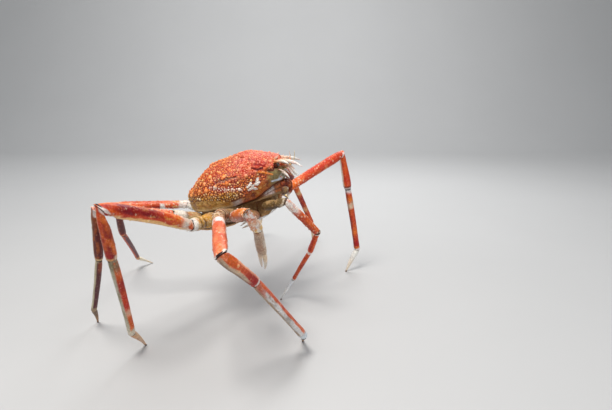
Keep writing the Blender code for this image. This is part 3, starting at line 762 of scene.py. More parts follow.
# The base colour and coats of each leg's thigh, wrist, shin and foot
LOOKS = {
    ("right", 3): {
        "thigh": (srgb(232, 118, 80), thigh_layers(srgb(240, 136, 100), srgb(196, 78, 50), 0.0, 0.0)
                  # painted highlight: near white along the faces that point right, toward the light
                  + [layer((250, 232, 220), 0.8, (0.2, 0.97), face=(RIGHTWARD, 0.90, 0.98)),
                     layer((176, 128, 88), 0.95, (0.0, 0.205, 0.02)),
                     layer((214, 180, 136), 0.7, (0.0, 0.20, 0.02), patch=(5.0, 0.0)),
                     layer((58, 34, 24), 0.9, (0.045, 0.07, 0.012), patch=(9.0, -0.3)),
                     layer(CREAM, 0.7, (0.07, 0.095, 0.012), patch=(7.0, -0.1)),
                     layer((58, 34, 24), 0.9, (0.12, 0.145, 0.012), patch=(9.0, -0.3)),
                     layer((96, 50, 34), 0.85, (0.19, 0.205, 0.012)),
                     layer((248, 244, 240), 0.95, (0.215, 0.335, 0.025), face=(UP, -0.1, 0.5),
                           patch=(9.0, -0.35)),
                     layer(DARK, 0.85, (0.0, 0.03, 0.012)),
                     layer(DARK, 0.9, (0.988, 1.0, 0.004), face=(UP, -0.3, 0.2))]),
        "wrist": (srgb(216, 92, 44), [
            layer((226, 118, 84), 0.8, (0.0, 0.16, 0.04)),
            layer(CRIMSON, 0.9, (0.62, 1.0, 0.14)),
            layer((190, 60, 30), 0.7, patch=(12.0, 0.1)),
            layer((198, 176, 150), 0.95, (0.05, 0.80, 0.1),
                  face=(DOWN + 0.8 * LEFTWARD + 0.45 * NEAR, 0.22, 0.42)),
            # painted shade: dark brown on the faces that point most down, left and near
            layer((116, 78, 58), 0.7, (0.05, 0.9), face=(DOWN + 0.8 * LEFTWARD + 0.45 * NEAR, 0.75, 0.95)),
            layer(CREAM, 0.8, (0.02, 0.12, 0.03), face=(LEFTWARD, 0.3, 0.7)),
            # painted highlight: pale pink on the faces that point up and right
            layer((250, 196, 160), 0.6, (0.3, 0.95), face=(UP + 0.8 * RIGHTWARD, 0.75, 0.95)),
            layer(WHITE, 0.7, (0.96, 1.0, 0.01), patch=(8.0, -0.1)),
            WRIST_DARK]),
        "shin": (srgb(178, 170, 164), [
            layer((230, 226, 224), 0.8, (0.06, 0.95), patch=(9.0, -0.15)),
            layer((150, 104, 78), 0.7, (0.0, 0.5, 0.15), patch=(6.0, 0.15)),
            layer((204, 96, 58), 0.7, (0.0, 0.20, 0.05), patch=(9.0, -0.05)),
            # painted shade: darker tan on the faces that point down, left and near
            layer((170, 140, 112), 0.85, face=(0.9 * LEFTWARD + 0.4 * NEAR + DOWN, 0.55, 0.8)),
            layer((216, 98, 54), 0.95, (0.02, 0.93), face=(RIGHTWARD + 0.4 * AWAY + UP, 0.24, 0.46)),
            layer((170, 40, 30), 0.8, (0.3, 0.9, 0.1), face=(RIGHTWARD + 0.4 * AWAY + UP, 0.5, 0.7),
                  patch=(8.0, 0.1)),
            layer((222, 230, 236), 0.95, (0.945, 1.0, 0.015)),
            ROOT_DARK]),
        "foot": (srgb(70, 48, 38), foot_layers(srgb(44, 32, 30))),
    },
    ("right", 4): {
        "thigh": (srgb(230, 108, 54), [
            # painted shade on the faces that point down, painted light on those that point up
            layer((190, 60, 28), 0.8, face=(DOWN, 0.0, 0.7)),
            layer((244, 138, 84), 0.8, face=(UP, 0.45, 0.85)),
            layer(RED, 0.8, (0.30, 0.95, 0.12), face=(RIGHTWARD + 0.5 * NEAR + 0.5 * UP, 0.45, 0.85)),
            layer((126, 16, 30), 0.9, (0.45, 0.93, 0.10),
                  face=(RIGHTWARD + 0.5 * NEAR + 0.6 * UP, 0.72, 0.95)),
            layer((250, 186, 104), 0.6, (0.08, 0.60, 0.08), patch=(4.0, 0.30)),
            layer((250, 214, 140), 0.75, (0.08, 0.94), face=(DOWN + 0.35 * RIGHTWARD, 0.82, 0.95)),
            layer((240, 230, 216), 0.95, (0.0, 0.16, 0.05), patch=(12.0, -0.3)),
            layer(WHITE, 0.85, (0.955, 1.0, 0.01), hinge=1),
            layer((196, 84, 56), 0.6, (0.93, 1.0, 0.02), hinge=-1),
            layer(MEMBRANE, 0.9, (0.0, 0.012, 0.006))]),
        "wrist": (srgb(218, 82, 40), [
            layer(CRIMSON, 0.8, (0.35, 1.0, 0.2), face=(NEAR + 0.4 * RIGHTWARD, -0.1, 0.7)),
            # painted shade: maroon on the faces that point down and right
            layer(MAROON, 0.5, face=(DOWN + RIGHTWARD, 0.3, 0.9)),
            layer((232, 120, 60), 0.7, patch=(13.0, 0.1)),
            layer((196, 160, 110), 0.85, (0.08, 0.92, 0.05), face=(LEFTWARD, 0.62, 0.85)),
            layer((240, 190, 130), 0.85, (0.945, 1.0, 0.015), patch=(9.0, -0.1)),
            layer(CREAM, 0.8, (0.90, 1.0, 0.03), face=(RIGHTWARD, 0.5, 0.9)),
            layer(WHITE, 0.7, (0.02, 0.09, 0.02), hinge=1),
            WRIST_DARK]),
        "shin": (srgb(166, 154, 126), [
            layer((206, 198, 180), 0.6, patch=(11.0, 0.0)),
            layer((214, 92, 44), 0.92, (0.03, 0.92, 0.03), face=(RIGHTWARD, 0.05, 0.4)),
            layer(CRIMSON, 0.9, (0.26, 0.40, 0.05), face=(RIGHTWARD, -0.2, 0.3)),
            layer(RED, 0.9, (0.44, 0.66, 0.05), face=(RIGHTWARD, -0.2, 0.3)),
            layer(CREAM, 0.6, (0.66, 0.72, 0.03), face=(RIGHTWARD, 0.0, 0.4)),
            layer((120, 110, 80), 0.8, (0.0, 0.12, 0.05), patch=(8.0, -0.1)),
            layer((238, 226, 206), 0.9, (0.94, 1.0, 0.02)),
            layer(MEMBRANE, 0.95, (0.0, 0.02, 0.008), hinge=-1)]),
        "foot": (srgb(216, 176, 140), foot_layers(srgb(196, 140, 110), srgb(226, 196, 170))),
    },
    ("right", 5): {
        "thigh": (SALMON, thigh_layers(SALMON, srgb(170, 70, 44))),
        "wrist": (srgb(150, 74, 34), [
            layer(MAROON, 1.0, (0.25, 1.0, 0.2), face=(RIGHTWARD + NEAR, -0.2, 0.4)),
            layer((200, 186, 160), 0.85, (0.05, 0.95), face=(LEFTWARD, 0.50, 0.80)),
            layer((186, 96, 40), 0.6, patch=(9.0, 0.2)),
            layer((222, 190, 140), 0.8, (0.95, 1.0, 0.015)),
            layer(WHITE, 0.8, (0.0, 0.10, 0.02), hinge=1),
            layer(MEMBRANE, 0.9, (0.0, 0.03, 0.01), hinge=-1)]),
        "shin": (srgb(196, 182, 150), [
            layer((84, 12, 24), 1.0, (0.04, 0.94, 0.03), face=(RIGHTWARD, -0.35, -0.05)),
            layer((150, 66, 26), 0.8, (0.0, 0.2, 0.06), face=(RIGHTWARD, -0.2, 0.5)),
            layer((220, 214, 200), 0.6, face=(LEFTWARD, 0.5, 0.9)),
            layer((150, 120, 90), 0.8, (0.93, 1.0, 0.03)),
            ROOT_DARK]),
        "foot": (srgb(112, 84, 62), foot_layers(srgb(84, 60, 46))),
    },
    ("left", 5): {
        "thigh": (srgb(224, 96, 56), [
            # painted light on the faces that point up, painted shade on those that point down
            layer((236, 130, 100), 0.8, face=(UP, 0.0, 0.6)),
            layer((170, 40, 26), 0.9, face=(DOWN, -0.1, 0.5)),
            layer((150, 26, 22), 0.6, (0.35, 0.95), patch=(16.0, 0.0)),
            layer(YELLOW, 0.7, (0.05, 0.3), patch=(6.0, 0.1)),
            layer(WHITE, 0.9, (0.33, 0.41, 0.012), face=(DOWN + NEAR, 0.1, 0.5)),
            layer(WHITE, 0.9, (0.0, 0.13, 0.03), patch=(10.0, -0.2)),
            layer(CREAM, 0.8, (0.97, 1.0, 0.01), hinge=1)]),
        "wrist": (srgb(150, 30, 22), wrist_layers(MAROON, srgb(206, 120, 70))),
        "shin": (srgb(96, 16, 36), [
            layer((200, 80, 36), 0.85, (0.05, 0.9), face=(DOWN + LEFTWARD, 0.35, 0.7)),
            layer((210, 90, 40), 0.8, (0.0, 0.12, 0.04), patch=(7.0, 0.0)),
            layer((220, 150, 96), 0.85, (0.90, 1.0, 0.03)),
            ROOT_DARK]),
        "foot": (srgb(234, 222, 196), foot_layers(srgb(240, 234, 220), CREAM)),
    },
    ("left", 2): {
        "thigh": (srgb(222, 88, 44), thigh_layers(srgb(230, 98, 66), srgb(192, 62, 28), 0.5, 0.5)
                  + [layer((196, 56, 50), 0.75, (0.35, 0.92, 0.25), face=(NEAR + 0.5 * UP, 0.3, 0.9)),
                     layer((244, 160, 100), 0.6, (0.05, 0.8), patch=(5.0, 0.30)),
                     layer((238, 112, 40), 0.8, (0.0, 0.12, 0.05))]),
        "wrist": (srgb(218, 78, 40), [
            layer(RED, 0.7, (0.55, 1.0, 0.2)),
            layer(ORANGE, 0.7, patch=(10.0, 0.1)),
            layer((240, 228, 204), 0.95, (0.06, 0.95), face=(LEFTWARD, 0.55, 0.75)),
            layer((110, 40, 24), 0.8, (0.90, 0.955, 0.015)),
            layer(GREY, 0.9, (0.955, 1.0, 0.01)),
            layer(WHITE, 0.8, (0.0, 0.08, 0.02), face=(UP, 0.2, 0.6))]),
        "shin": (srgb(214, 74, 36), shin_layers([
            ((240, 240, 240), 0.0, 0.055, 0.95), ((190, 44, 26), 0.075, 0.13, 0.8),
            ((226, 134, 50), 0.14, 0.21, 0.8), ((222, 204, 176), 0.21, 0.31, 0.9),
            ((196, 66, 30), 0.33, 0.62, 0.9), ((222, 112, 50), 0.64, 0.73, 0.9),
            ((178, 30, 24), 0.76, 0.93, 0.95), ((230, 150, 70), 0.93, 0.955, 0.9)])),
        "foot": (srgb(240, 238, 230), foot_layers(WHITE, CREAM)),
    },
    ("left", 3): {
        "thigh": (SALMON, thigh_layers(SALMON, srgb(186, 70, 44))),
        "wrist": (srgb(206, 70, 44), wrist_layers(CRIMSON)),
        "shin": (srgb(208, 78, 36), shin_layers([
            ((226, 120, 60), 0.0, 0.34, 0.8), ((226, 196, 150), 0.26, 0.33, 0.8),
            ((150, 24, 24), 0.36, 0.58, 0.9),
            ((234, 190, 140), 0.60, 0.68, 0.8), ((214, 84, 34), 0.70, 0.95, 0.9)])),
        "foot": (CREAM, foot_layers(CREAM)),
    },
    ("right", 2): {
        "thigh": (srgb(222, 100, 50), [
            # painted shade on the faces that point down, painted light on those that point up
            layer((176, 60, 30), 0.8, face=(DOWN, 0.1, 0.8)),
            layer((236, 128, 80), 0.6, face=(UP, 0.2, 0.8)),
            layer((206, 70, 36), 0.6, patch=(14.0, 0.05)),
            layer((214, 196, 170), 0.6, (0.3, 0.85), face=(DOWN + LEFTWARD, 0.75, 0.95)),
            layer((240, 234, 228), 0.95, (0.0, 0.30, 0.10), patch=(11.0, -0.22)),
            layer(RED, 0.7, (0.88, 0.96, 0.03)),
            layer(DARK, 0.9, (0.955, 1.0, 0.012)),
            layer(MEMBRANE, 0.9, (0.0, 0.02, 0.008))]),
        "wrist": (srgb(212, 76, 34), [
            layer((176, 38, 26), 0.8, (0.3, 0.9, 0.15), face=(LEFTWARD, -0.1, 0.5)),
            layer((200, 170, 150), 0.7, (0.4, 1.0, 0.1), face=(RIGHTWARD, 0.55, 0.85)),
            layer(WHITE, 0.85, (0.0, 0.07, 0.02)),
            layer(WHITE, 0.85, (0.93, 1.0, 0.02))]),
        "shin": (srgb(206, 78, 38), [
            layer((212, 206, 200), 0.9, (0.05, 0.95), face=(RIGHTWARD, 0.45, 0.75)),
            layer((150, 40, 26), 0.6, patch=(9.0, 0.1)),
            layer(WHITE, 0.9, (0.94, 1.0, 0.015)),
            layer(WHITE, 0.7, (0.0, 0.04, 0.015))]),
        "foot": (srgb(226, 228, 232), foot_layers(srgb(204, 210, 218), WHITE)),
    },
    ("left", 4): {
        "thigh": (SALMON, thigh_layers(SALMON, srgb(186, 70, 44))),
        "wrist": (srgb(210, 74, 46), wrist_layers(CRIMSON)),
        "shin": (srgb(216, 88, 44), shin_layers(BANDS)),
        "foot": (CREAM, foot_layers(CREAM)),
    },
}
STOUT_WRIST = ((0, 1, 1), (0.06, 1.26, 1.26), (0.25, 1.30, 1.26), (0.55, 1.16, 1.12), (0.85, 1.10, 1.06),
               (1, 1, 1))
SLIM_WRIST = ((0, 1, 1), (0.20, 1.02, 1.00), (0.50, 1.10, 1.08), (0.80, 1.18, 1.14), (0.92, 1.16, 1.12),
              (1, 1, 1))
STOUT_CLAW = ((0, 1, 1), (0.14, 1.15, 1.30), (0.30, 1.08, 1.24), (0.50, 0.92, 1.04), (0.70, 0.68, 0.74),
              (0.88, 0.46, 0.48))
WRISTS = {("right", 3): STOUT_WRIST, ("right", 4): SLIM_WRIST}
STOUT_TIPS = ("leg_left_2_foot", "leg_right_2_foot")


def on_top(least, low, high):
    """Where grains stand: some everywhere, most on the faces that point up."""
    return lambda t, out: least + (1 - least) * smooth_step(low, high, out[..., 2])


def near_root(t, out):
    lit = 0.4 + 0.6 * np.maximum(out[..., 2], 0)
    return np.clip(0.15 + 1.2 * (1 - smooth_step(0.03, 0.35, t)) * lit, 0, 1)


def wart_row(t, out):
    band = smooth_step(0.20, 0.26, t) * (1 - smooth_step(0.44, 0.50, t))
    return band * smooth_step(0.8, 0.9, out @ unit(vec((0.6, -0.7, -0.1))))


# Grains of each leg piece: how many, radii, heights, where, colour and how strongly it shows
LEG_GRAINS = {
    "thigh": [(70, (1.7, 2.9), (0.8, 1.7), near_root, srgb(244, 226, 200), 0.7),
              (230, (1.1, 1.9), (0.3, 0.7), on_top(0.1, -0.1, 0.7), srgb(246, 170, 120), 0.4)],
    "wrist": [(60, (1.2, 2.1), (0.4, 0.9), on_top(0.1, 0.0, 0.7), srgb(244, 178, 130), 0.4)],
    "shin": [(60, (1.1, 1.8), (0.25, 0.5), None, srgb(246, 214, 180), 0.35)],
}
WARTS = (3, (3.0, 3.6), (1.8, 2.6), wart_row, srgb(244, 196, 150), 0.85)
# Each leg piece's profile and rows
LEG_PIECES = (("thigh", THIGH, 150), ("wrist", WRIST, 84), ("shin", SHIN, 120))


def build_hip(name, socket, hip, knee, radius, normal, kind, finish, seed):
    outward = unit(hip - socket)
    onward = joint_plane(socket, hip, knee)

    def relief(from_start, from_end, angle, size):
        value = 1.0 - 0.05 * (1 - smooth_step(0.0, 0.1, from_end / size))
        return value - 0.04 * hump(from_end, 0.7 * size, 0.15 * size)

    grid = limb_grid(socket, hip, (radius * 1.05, radius), HIP, -outward, onward, normal, 0.0,
                     80, LIMB_COLUMNS, relief)
    shown = 0.15 if kind[1] == 2 else 0.6
    grains = [(90, (1.5, 2.4), (0.4, 0.9), on_top(0.15, -0.2, 0.6), srgb(236, 216, 180), shown)]
    base = HIP_BASE.get(kind, srgb(180, 128, 86))
    limb_piece(name, finish, grid, base, hip_layers(*kind), seed, None, onward, (radius, radius),
               grains)


def build_leg(side, number, finishes, seed):
    points = [vec(p) for p in LEGS[(side, number)]]
    radii = KNUCKLES[(side, number)]
    socket = socket_point(side, number)
    normal = leg_normal(points)
    name = "leg_%s_%d_" % (side, number)
    looks = LOOKS[(side, number)]
    build_hip(name + "hip", socket, points[0], points[1], radii[0], normal, (side, number),
              finishes["hip"], seed)
    before = [socket] + points
    turns = [joint_plane(before[k], before[k + 1], before[k + 2]) for k in range(4)]
    for k, (part, profile, rows) in enumerate(LEG_PIECES):
        ends = (radii[k] * NECK[part], radii[k + 1])
        bow = THIGH_BOW.get((side, number), COMMON_BOW) if part == "thigh" else LOWER_BOW
        base, layers = looks[part]
        grains = LEG_GRAINS[part]
        if part == "wrist":
            profile = WRISTS.get((side, number), profile)
            if profile is STOUT_WRIST:
                grains = [WARTS] + grains
        grid = limb_grid(points[k], points[k + 1], ends, profile, -turns[k], turns[k + 1], normal, bow, rows,
                         LIMB_COLUMNS, limb_relief(part))
        limb_piece(name + part, finishes["limb"], grid, base, layers, seed + 10 * (k + 1), -turns[k],
                   turns[k + 1], ends, grains)
    build_foot(name + "foot", points[3], points[4], radii[3] * NECK["foot"], turns[3], normal, looks["foot"],
               finishes["tip"], seed + 50)


def build_foot(name, start, tip, radius, turn, normal, look, finish, seed):
    rows, cols = 80, 48
    foot_end = vec((tip[0], tip[1], -HALF_GAP))
    flat = FOOT_FLAT / radius
    shape = (STOUT_CLAW if name in STOUT_TIPS else CLAW) + ((1.0, flat, flat),)
    grid = limb_grid(start, foot_end, (radius, radius), shape, -turn, DOWN, normal, FOOT_BOW, rows, cols,
                     limb_relief("foot"))
    points, out, t = grid
    points[..., 2] = np.maximum(points[..., 2], 0.0)
    base, layers = look
    grains = [(40, (0.9, 1.5), (0.2, 0.45), lambda s, o: 1 - smooth_step(0.3, 0.7, s), CREAM, 0.4)]
    limb_piece(name, finish, (points, out, t), base, layers, seed, -turn, DOWN, (radius, FOOT_FLAT),
               grains, foot=True)


def sweep(path, wide, deep, hint, cols):
    """A grid round a path with its own half width and depth at each point."""
    path = vec(path)
    slope = unit(np.gradient(path, axis=0))
    side = unit(hint - slope * (slope @ hint)[:, None])
    other = np.cross(slope, side)
    angle = np.arange(cols) * math.tau / cols
    out = side[:, None] * np.cos(angle)[None, :, None] + other[:, None] * np.sin(angle)[None, :, None]
    ray = (side[:, None] * (np.cos(angle)[None] * vec(wide)[:, None])[..., None]
           + other[:, None] * (np.sin(angle)[None] * vec(deep)[:, None])[..., None])
    return path[:, None] + ray, out


def arc_length(path):
    return np.concatenate(([0.0], np.cumsum(np.linalg.norm(np.diff(path, axis=0), axis=1))))


def path_through(stations, count):
    """A smooth path, with radii, through a few stations given as x, y, z, width, depth."""
    stations = vec(stations)
    gone = arc_length(stations[:, :3])
    return smooth_table(gone, stations, np.linspace(0, gone[-1], count))


ARM_LOOKS = {
    "upper": (srgb(224, 112, 52), [
        layer((232, 128, 60), 0.8, (0.5, 1.0, 0.2)),
        layer((250, 200, 140), 0.6, patch=(8.0, 0.2)),
        # painted shade: dark brown on the faces that point down
        layer((140, 60, 30), 0.7, face=(DOWN, 0.1, 0.8)),
        layer((206, 140, 120), 0.6, (0.0, 0.35, 0.1), patch=(12.0, -0.1)),
        layer(CREAM, 0.9, (0.95, 1.0, 0.012), patch=(6.0, -0.1)),
        layer(MEMBRANE, 0.95, (0.0, 0.02, 0.01))]),
    "wrist": (srgb(224, 156, 122), [
        layer((196, 84, 46), 0.85, (0.0, 0.4, 0.15), patch=(8.0, -0.15)),
        layer((90, 30, 20), 0.8, (0.02, 0.14, 0.03), patch=(6.0, 0.1)),
        layer((226, 200, 176), 0.7, (0.35, 0.8, 0.1), patch=(9.0, -0.1)),
        layer((236, 200, 120), 0.85, (0.78, 1.0, 0.06), patch=(7.0, 0.0)),
        layer(WHITE, 0.8, patch=(6.0, 0.2)),
        layer(MEMBRANE, 0.9, (0.0, 0.03, 0.015))]),
    "palm": (srgb(214, 190, 166), [
        layer((196, 150, 130), 0.6, patch=(14.0, 0.0)),
        layer((236, 226, 210), 0.7, patch=(8.0, 0.15)),
        # painted shade: darker on the faces that point down
        layer((150, 116, 92), 0.5, face=(DOWN, 0.2, 0.9)),
        layer((160, 96, 60), 0.7, (0.0, 0.12, 0.05), patch=(6.0, -0.1)),
        layer(MEMBRANE, 0.9, (0.0, 0.03, 0.012))]),
}


LEFT_ARM_LOOKS = {
    "upper": ARM_LOOKS["upper"],
    "wrist": (srgb(232, 216, 196), ARM_LOOKS["wrist"][1] + [
        layer(WHITE, 0.7, (0.3, 1.0, 0.2), patch=(7.0, 0.0))]),
    "palm": (srgb(226, 230, 234), [
        layer((196, 206, 218), 0.7, patch=(12.0, 0.0)),
        layer((244, 244, 240), 0.8, patch=(6.0, 0.1)),
        # painted shade: darker on the faces that point down
        layer((176, 150, 130), 0.5, face=(DOWN, 0.4, 0.9)),
        layer((190, 130, 96), 0.7, (0.0, 0.16, 0.06), patch=(6.0, -0.1)),
        layer(MEMBRANE, 0.9, (0.0, 0.03, 0.012))]),
}


def at_cuff(t, out):
    return 0.25 + 0.75 * smooth_step(0.72, 0.85, t)


ARM_GRAINS = [(46, (1.7, 2.9), (1.0, 2.2), at_cuff, WHITE, 0.85),
              (60, (1.2, 1.9), (0.4, 0.9), None, CREAM, 0.6)]


def build_arm(side, finishes, seed):
    looks = ARM_LOOKS if side == "right" else LEFT_ARM_LOOKS
    points = [vec(p) for p in ARMS[side]]
    radii = ARM_KNUCKLES
    socket = socket_point(side, 1)
    normal = leg_normal([points[0], points[1], points[2]])
    name = "arm_%s_" % side
    build_hip(name + "hip", socket, points[0], points[1], radii[0], normal, (side, 1), finishes["hip"], seed)
    before = [socket] + points
    turns = [joint_plane(before[k], before[k + 1], before[k + 2]) for k in range(3)]
    for part, profile, k in (("upper", THIGH, 0), ("wrist", WRIST, 1)):
        ends = (radii[k] * NECK.get(part, 1.0), radii[k + 1])
        grid = limb_grid(points[k], points[k + 1], ends, profile, -turns[k], turns[k + 1], normal, ARM_BOW,
                         110, LIMB_COLUMNS, limb_relief(part))
        base, layers = looks[part]
        limb_piece(name + part, finishes["arm"], grid, base, layers, seed + 10 * (k + 1), -turns[k],
                   turns[k + 1], ends, ARM_GRAINS)
    build_claw(name, points[2], points[3], points[4], radii[2], turns[2], normal, looks["palm"], finishes,
               seed + 40)


def add_teeth(surface, line, size, inward):
    """A row of blunt teeth along the inner edge of a finger."""
    path = line[8:] + inward[None] * (size[8:] * 0.75)[:, None]
    for k in range(3, len(path) - 3, 4):
        reach = TOOTH * (1.0 - 0.5 * k / len(path))
        root, tip = path[k], path[k] + inward * reach * 1.5
        radius = reach * np.array((1.0, 0.98, 0.86, 0.66, 0.40, 0.08))
        grid, _ = sweep(np.linspace(root, tip, 6), radius, radius, unit(path[k + 1] - path[k - 1]), 12)
        surface.tube(grid, np.broadcast_to(CREAM, grid.shape))


def finger_tint(grid, out, t, base, seed):
    return paint(grid, out, np.broadcast_to(t[:, None], grid.shape[:2]), base, [
        layer(mix(base, PINK, 0.4), 0.5, patch=(10.0, 0.1)),
        layer((240, 234, 222), 0.7, (0.40, 0.90, 0.15)),
        layer((206, 150, 100), 0.6, (0.80, 1.0, 0.08), patch=(4.0, 0.0)),
        layer((96, 60, 42), 0.8, (0.93, 1.0, 0.03))], seed)


def build_claw(name, wrist, split, tip, radius, turn, normal, look, finishes, seed):
    """The palm with its fixed finger, and the movable finger beside it."""
    along = unit(split - wrist)
    spread = unit(np.cross(normal, along))
    if spread[0] < 0:
        spread = -spread
    fixed_root, fixed_tip = split - spread * 5.0, tip - spread * TIP_SPREAD
    free_root, free_tip = split + spread * 6.2, tip + spread * TIP_SPREAD
    end = split - along * 0.6
    grid, out, t = limb_grid(wrist, end, (radius, radius), PALM, -turn, None, normal, 0.0, 90, LIMB_COLUMNS,
                             limb_relief("palm"))
    shade_t = np.broadcast_to(t[:, None], grid.shape[:2])
    base, layers = look
    grid = grid + out * (0.3 * fractal(grid, 12.0, seed))[..., None]
    tint = paint(grid, out, shade_t, base, layers, seed)
    grid, grain = raise_grains(grid, out, random.Random(seed), 90, (1.2, 2.2), (0.4, 1.0))
    tint = mix(tint, CREAM, 0.55 * grain)
    head = cap_rings(grid[0], -turn, radius, HEAD, 1.0)
    back = cap_rings(grid[-1], along, radius, ((0.86, 0.05), (0.6, 0.06), (0.3, 0.06)), 1.0)
    surface = Surface()
    surface.tube(np.concatenate((head, grid, back)),
                 np.concatenate((np.broadcast_to(MEMBRANE, head.shape), tint,
                                 np.broadcast_to(TAN, back.shape))))
    t = np.linspace(0, 1, 48)
    line = (fixed_root - along * 5.0)[None] * (1 - t)[:, None] + fixed_tip[None] * t[:, None]
    line = line - spread[None] * (1.6 * np.sin(math.pi * t))[:, None]
    size = radius * np.interp(t, (0, 0.2, 0.5, 0.8, 1.0), (0.66, 0.60, 0.46, 0.30, 0.05))
    finger, out = sweep(line, size, size * 1.05, normal, 32)
    surface.tube(finger, finger_tint(finger, out, t, mix(base, CREAM, 0.4), seed))
    add_teeth(surface, line, size, spread)
    surface.make(name + "palm_skin", [name + "palm"], finishes["arm"])
    t = np.linspace(0, 1, 56)
    line = (free_root + along * 0.4)[None] * (1 - t)[:, None] + free_tip[None] * t[:, None]
    line = line + spread[None] * (2.8 * np.sin(math.pi * t))[:, None]
    size = radius * np.interp(t, (0, 0.05, 0.16, 0.3, 0.55, 0.8, 1.0),
                              (0.44, 0.55, 0.60, 0.55, 0.44, 0.30, 0.05))
    finger, out = sweep(line, size, size * 1.05, normal, 32)
    over = np.minimum((finger - split) @ along - HALF_GAP, 0.0)
    finger = finger - along * over[..., None]
    surface = Surface()
    surface.tube(finger, finger_tint(finger, out, t, mix(base, CREAM, 0.4), seed + 1))
    add_teeth(surface, line, size, -spread)
    surface.make(name + "finger_skin", [name + "finger"], finishes["tip"])


# Shell

def back_power(along):
    return np.interp(along, [p[0] for p in BACK_POWER], [p[1] for p in BACK_POWER])


def lower_edge(x):
    """Height of the dome's lower edge at a distance from its rear."""
    along = np.clip(np.asarray(x, float).ravel() / DOME_LENGTH, 0.0, 1.0)
    return smooth_table([d[0] for d in DOME], [d[4:6] for d in DOME], along)[:, 1].reshape(np.shape(x))


def dome_ring(sizes, power, upper, lower):
    """One cross section of the dome, from the left margin over the back and round below."""
    wide, crown, margin, low_wide, low = sizes
    angle = np.linspace(0, math.pi, upper)
    reach = np.sign(np.cos(angle)) * np.abs(np.cos(angle)) ** MARGIN_POWER
    rise = margin + (crown - margin) * np.maximum(np.sin(angle), 0.0) ** power
    top = np.stack((wide * reach, rise), axis=1)
    s = np.linspace(0, 1, 40)[1:]
    flank_y = wide + (low_wide - wide) * s ** 1.25 + wide * 0.2 * s * (1 - s)
    flank_z = margin + (low - margin) * s
    right = np.stack((-flank_y, flank_z), axis=1)
    floor = np.stack((np.linspace(-low_wide, low_wide, 40)[1:-1], np.full(38, low)), axis=1)
    left = np.stack((flank_y, flank_z), axis=1)[::-1]
    loop = np.concatenate((top, right, floor, left))
    closed = np.concatenate((loop, loop[:1]))
    gone = arc_length(closed)
    want = np.linspace(0, gone[-1], upper + lower, endpoint=False)
    ring = np.stack((np.interp(want, gone, closed[:, 0]), np.interp(want, gone, closed[:, 1])), axis=1)
    for _ in range(3):
        ring = 0.25 * np.roll(ring, 1, axis=0) + 0.5 * ring + 0.25 * np.roll(ring, -1, axis=0)
    return ring


def grid_normals(points):
    around = np.roll(points, -1, axis=1) - np.roll(points, 1, axis=1)
    ahead = np.gradient(points, axis=0)
    normal = unit(np.cross(around, ahead))
    middle = points.mean(axis=1, keepdims=True)
    if ((points - middle) * normal).sum() < 0:
        normal = -normal
    return normal


def line_weight(points, line, width):
    """How near each point is to a line of stations: 1 on it, falling off over the width."""
    best = np.full(points.shape[:-1], 1e9)
    line = vec(line)
    for a, b in zip(line, line[1:]):
        along = b - a
        s = np.clip(((points - a) @ along) / (along @ along), 0.0, 1.0)
        away = np.linalg.norm(points - (a + s[..., None] * along), axis=-1)
        best = np.minimum(best, away)
    return np.exp(-(best / width) ** 2)


def both_sides(stations):
    return [[(x, sign * y, z) for x, y, z in stations] for _, sign in SIDES]


def dome_back(along, turn):
    """A point of the dome's back: turn is 0 at the left margin, 90 on the ridge, 180 at the right."""
    wide, crown, margin = smooth_table([d[0] for d in DOME], [d[1:4] for d in DOME], np.array([along]))[0]
    angle = math.radians(turn)
    reach = math.copysign(abs(math.cos(angle)) ** MARGIN_POWER, math.cos(angle))
    rise = max(math.sin(angle), 0.0) ** back_power(along)
    return vec((along * DOME_LENGTH, wide * reach, margin + (crown - margin) * rise))


KNOB_COUNT = 128
KNOB_TRIES = 4000
RIDGE_KNOBS = (0.06, 0.11, 0.16, 0.21, 0.26, 0.31, 0.37, 0.43, 0.49, 0.55, 0.61, 0.67, 0.73, 0.79, 0.84, 0.89)
KNOB_SPACING = 15.0
# Up to which try a grain of the shell may have which largest radius
GRAIN_SIZES = ((900, 3.9), (2500, 3.2), (12000, 2.6), (40000, 1.8))
GRAIN_CELL = 7


def knob_places(rng):
    """The dome's larger knobs: rows along the ridge, the shoulders and the margins, then scattered ones."""
    places = []
    for along in RIDGE_KNOBS:
        places.append((along, 90.0 + rng.uniform(-5.0, 5.0), rng.uniform(2.8, 4.4), rng.uniform(2.8, 3.8)))
    for turn in (64.0, 116.0):
        for along in (0.12, 0.24, 0.36, 0.48, 0.60, 0.72, 0.84):
            places.append((along, turn, 2.8, 3.2))
    for turn in (38.0, 142.0):
        for along in (0.08, 0.19, 0.30, 0.41, 0.52, 0.63, 0.74, 0.85):
            places.append((along, turn, 3.0, 3.2))
    for turn in (12.0, 168.0):
        for along in (0.06, 0.16, 0.26, 0.36, 0.46, 0.56, 0.66, 0.76, 0.86):
            places.append((along, turn, 4.6, 3.8))
    for _ in range(KNOB_TRIES):
        if len(places) >= KNOB_COUNT:
            break
        along, turn = rng.uniform(0.05, 0.92), rng.uniform(16.0, 164.0)
        here = dome_back(along, turn)
        if all(np.linalg.norm(here - dome_back(a, t)) > KNOB_SPACING for a, t, _, _ in places):
            places.append((along, turn, rng.uniform(1.8, 2.8), rng.uniform(2.6, 3.4)))
    return [(a + rng.uniform(-0.018, 0.018), t + rng.uniform(-3.0, 3.0), h * rng.uniform(0.8, 1.15), r)
            for a, t, h, r in places]


# Lines of the shell, in the body's frame, given for the left side
CERVICAL = ((100, 0, 104), (104, 18, 101), (118, 34, 99), (140, 44, 88), (158, 56, 70))
GUT_GROOVE = ((52, 0, 76), (60, 14, 80), (80, 18, 88), (98, 20, 96))
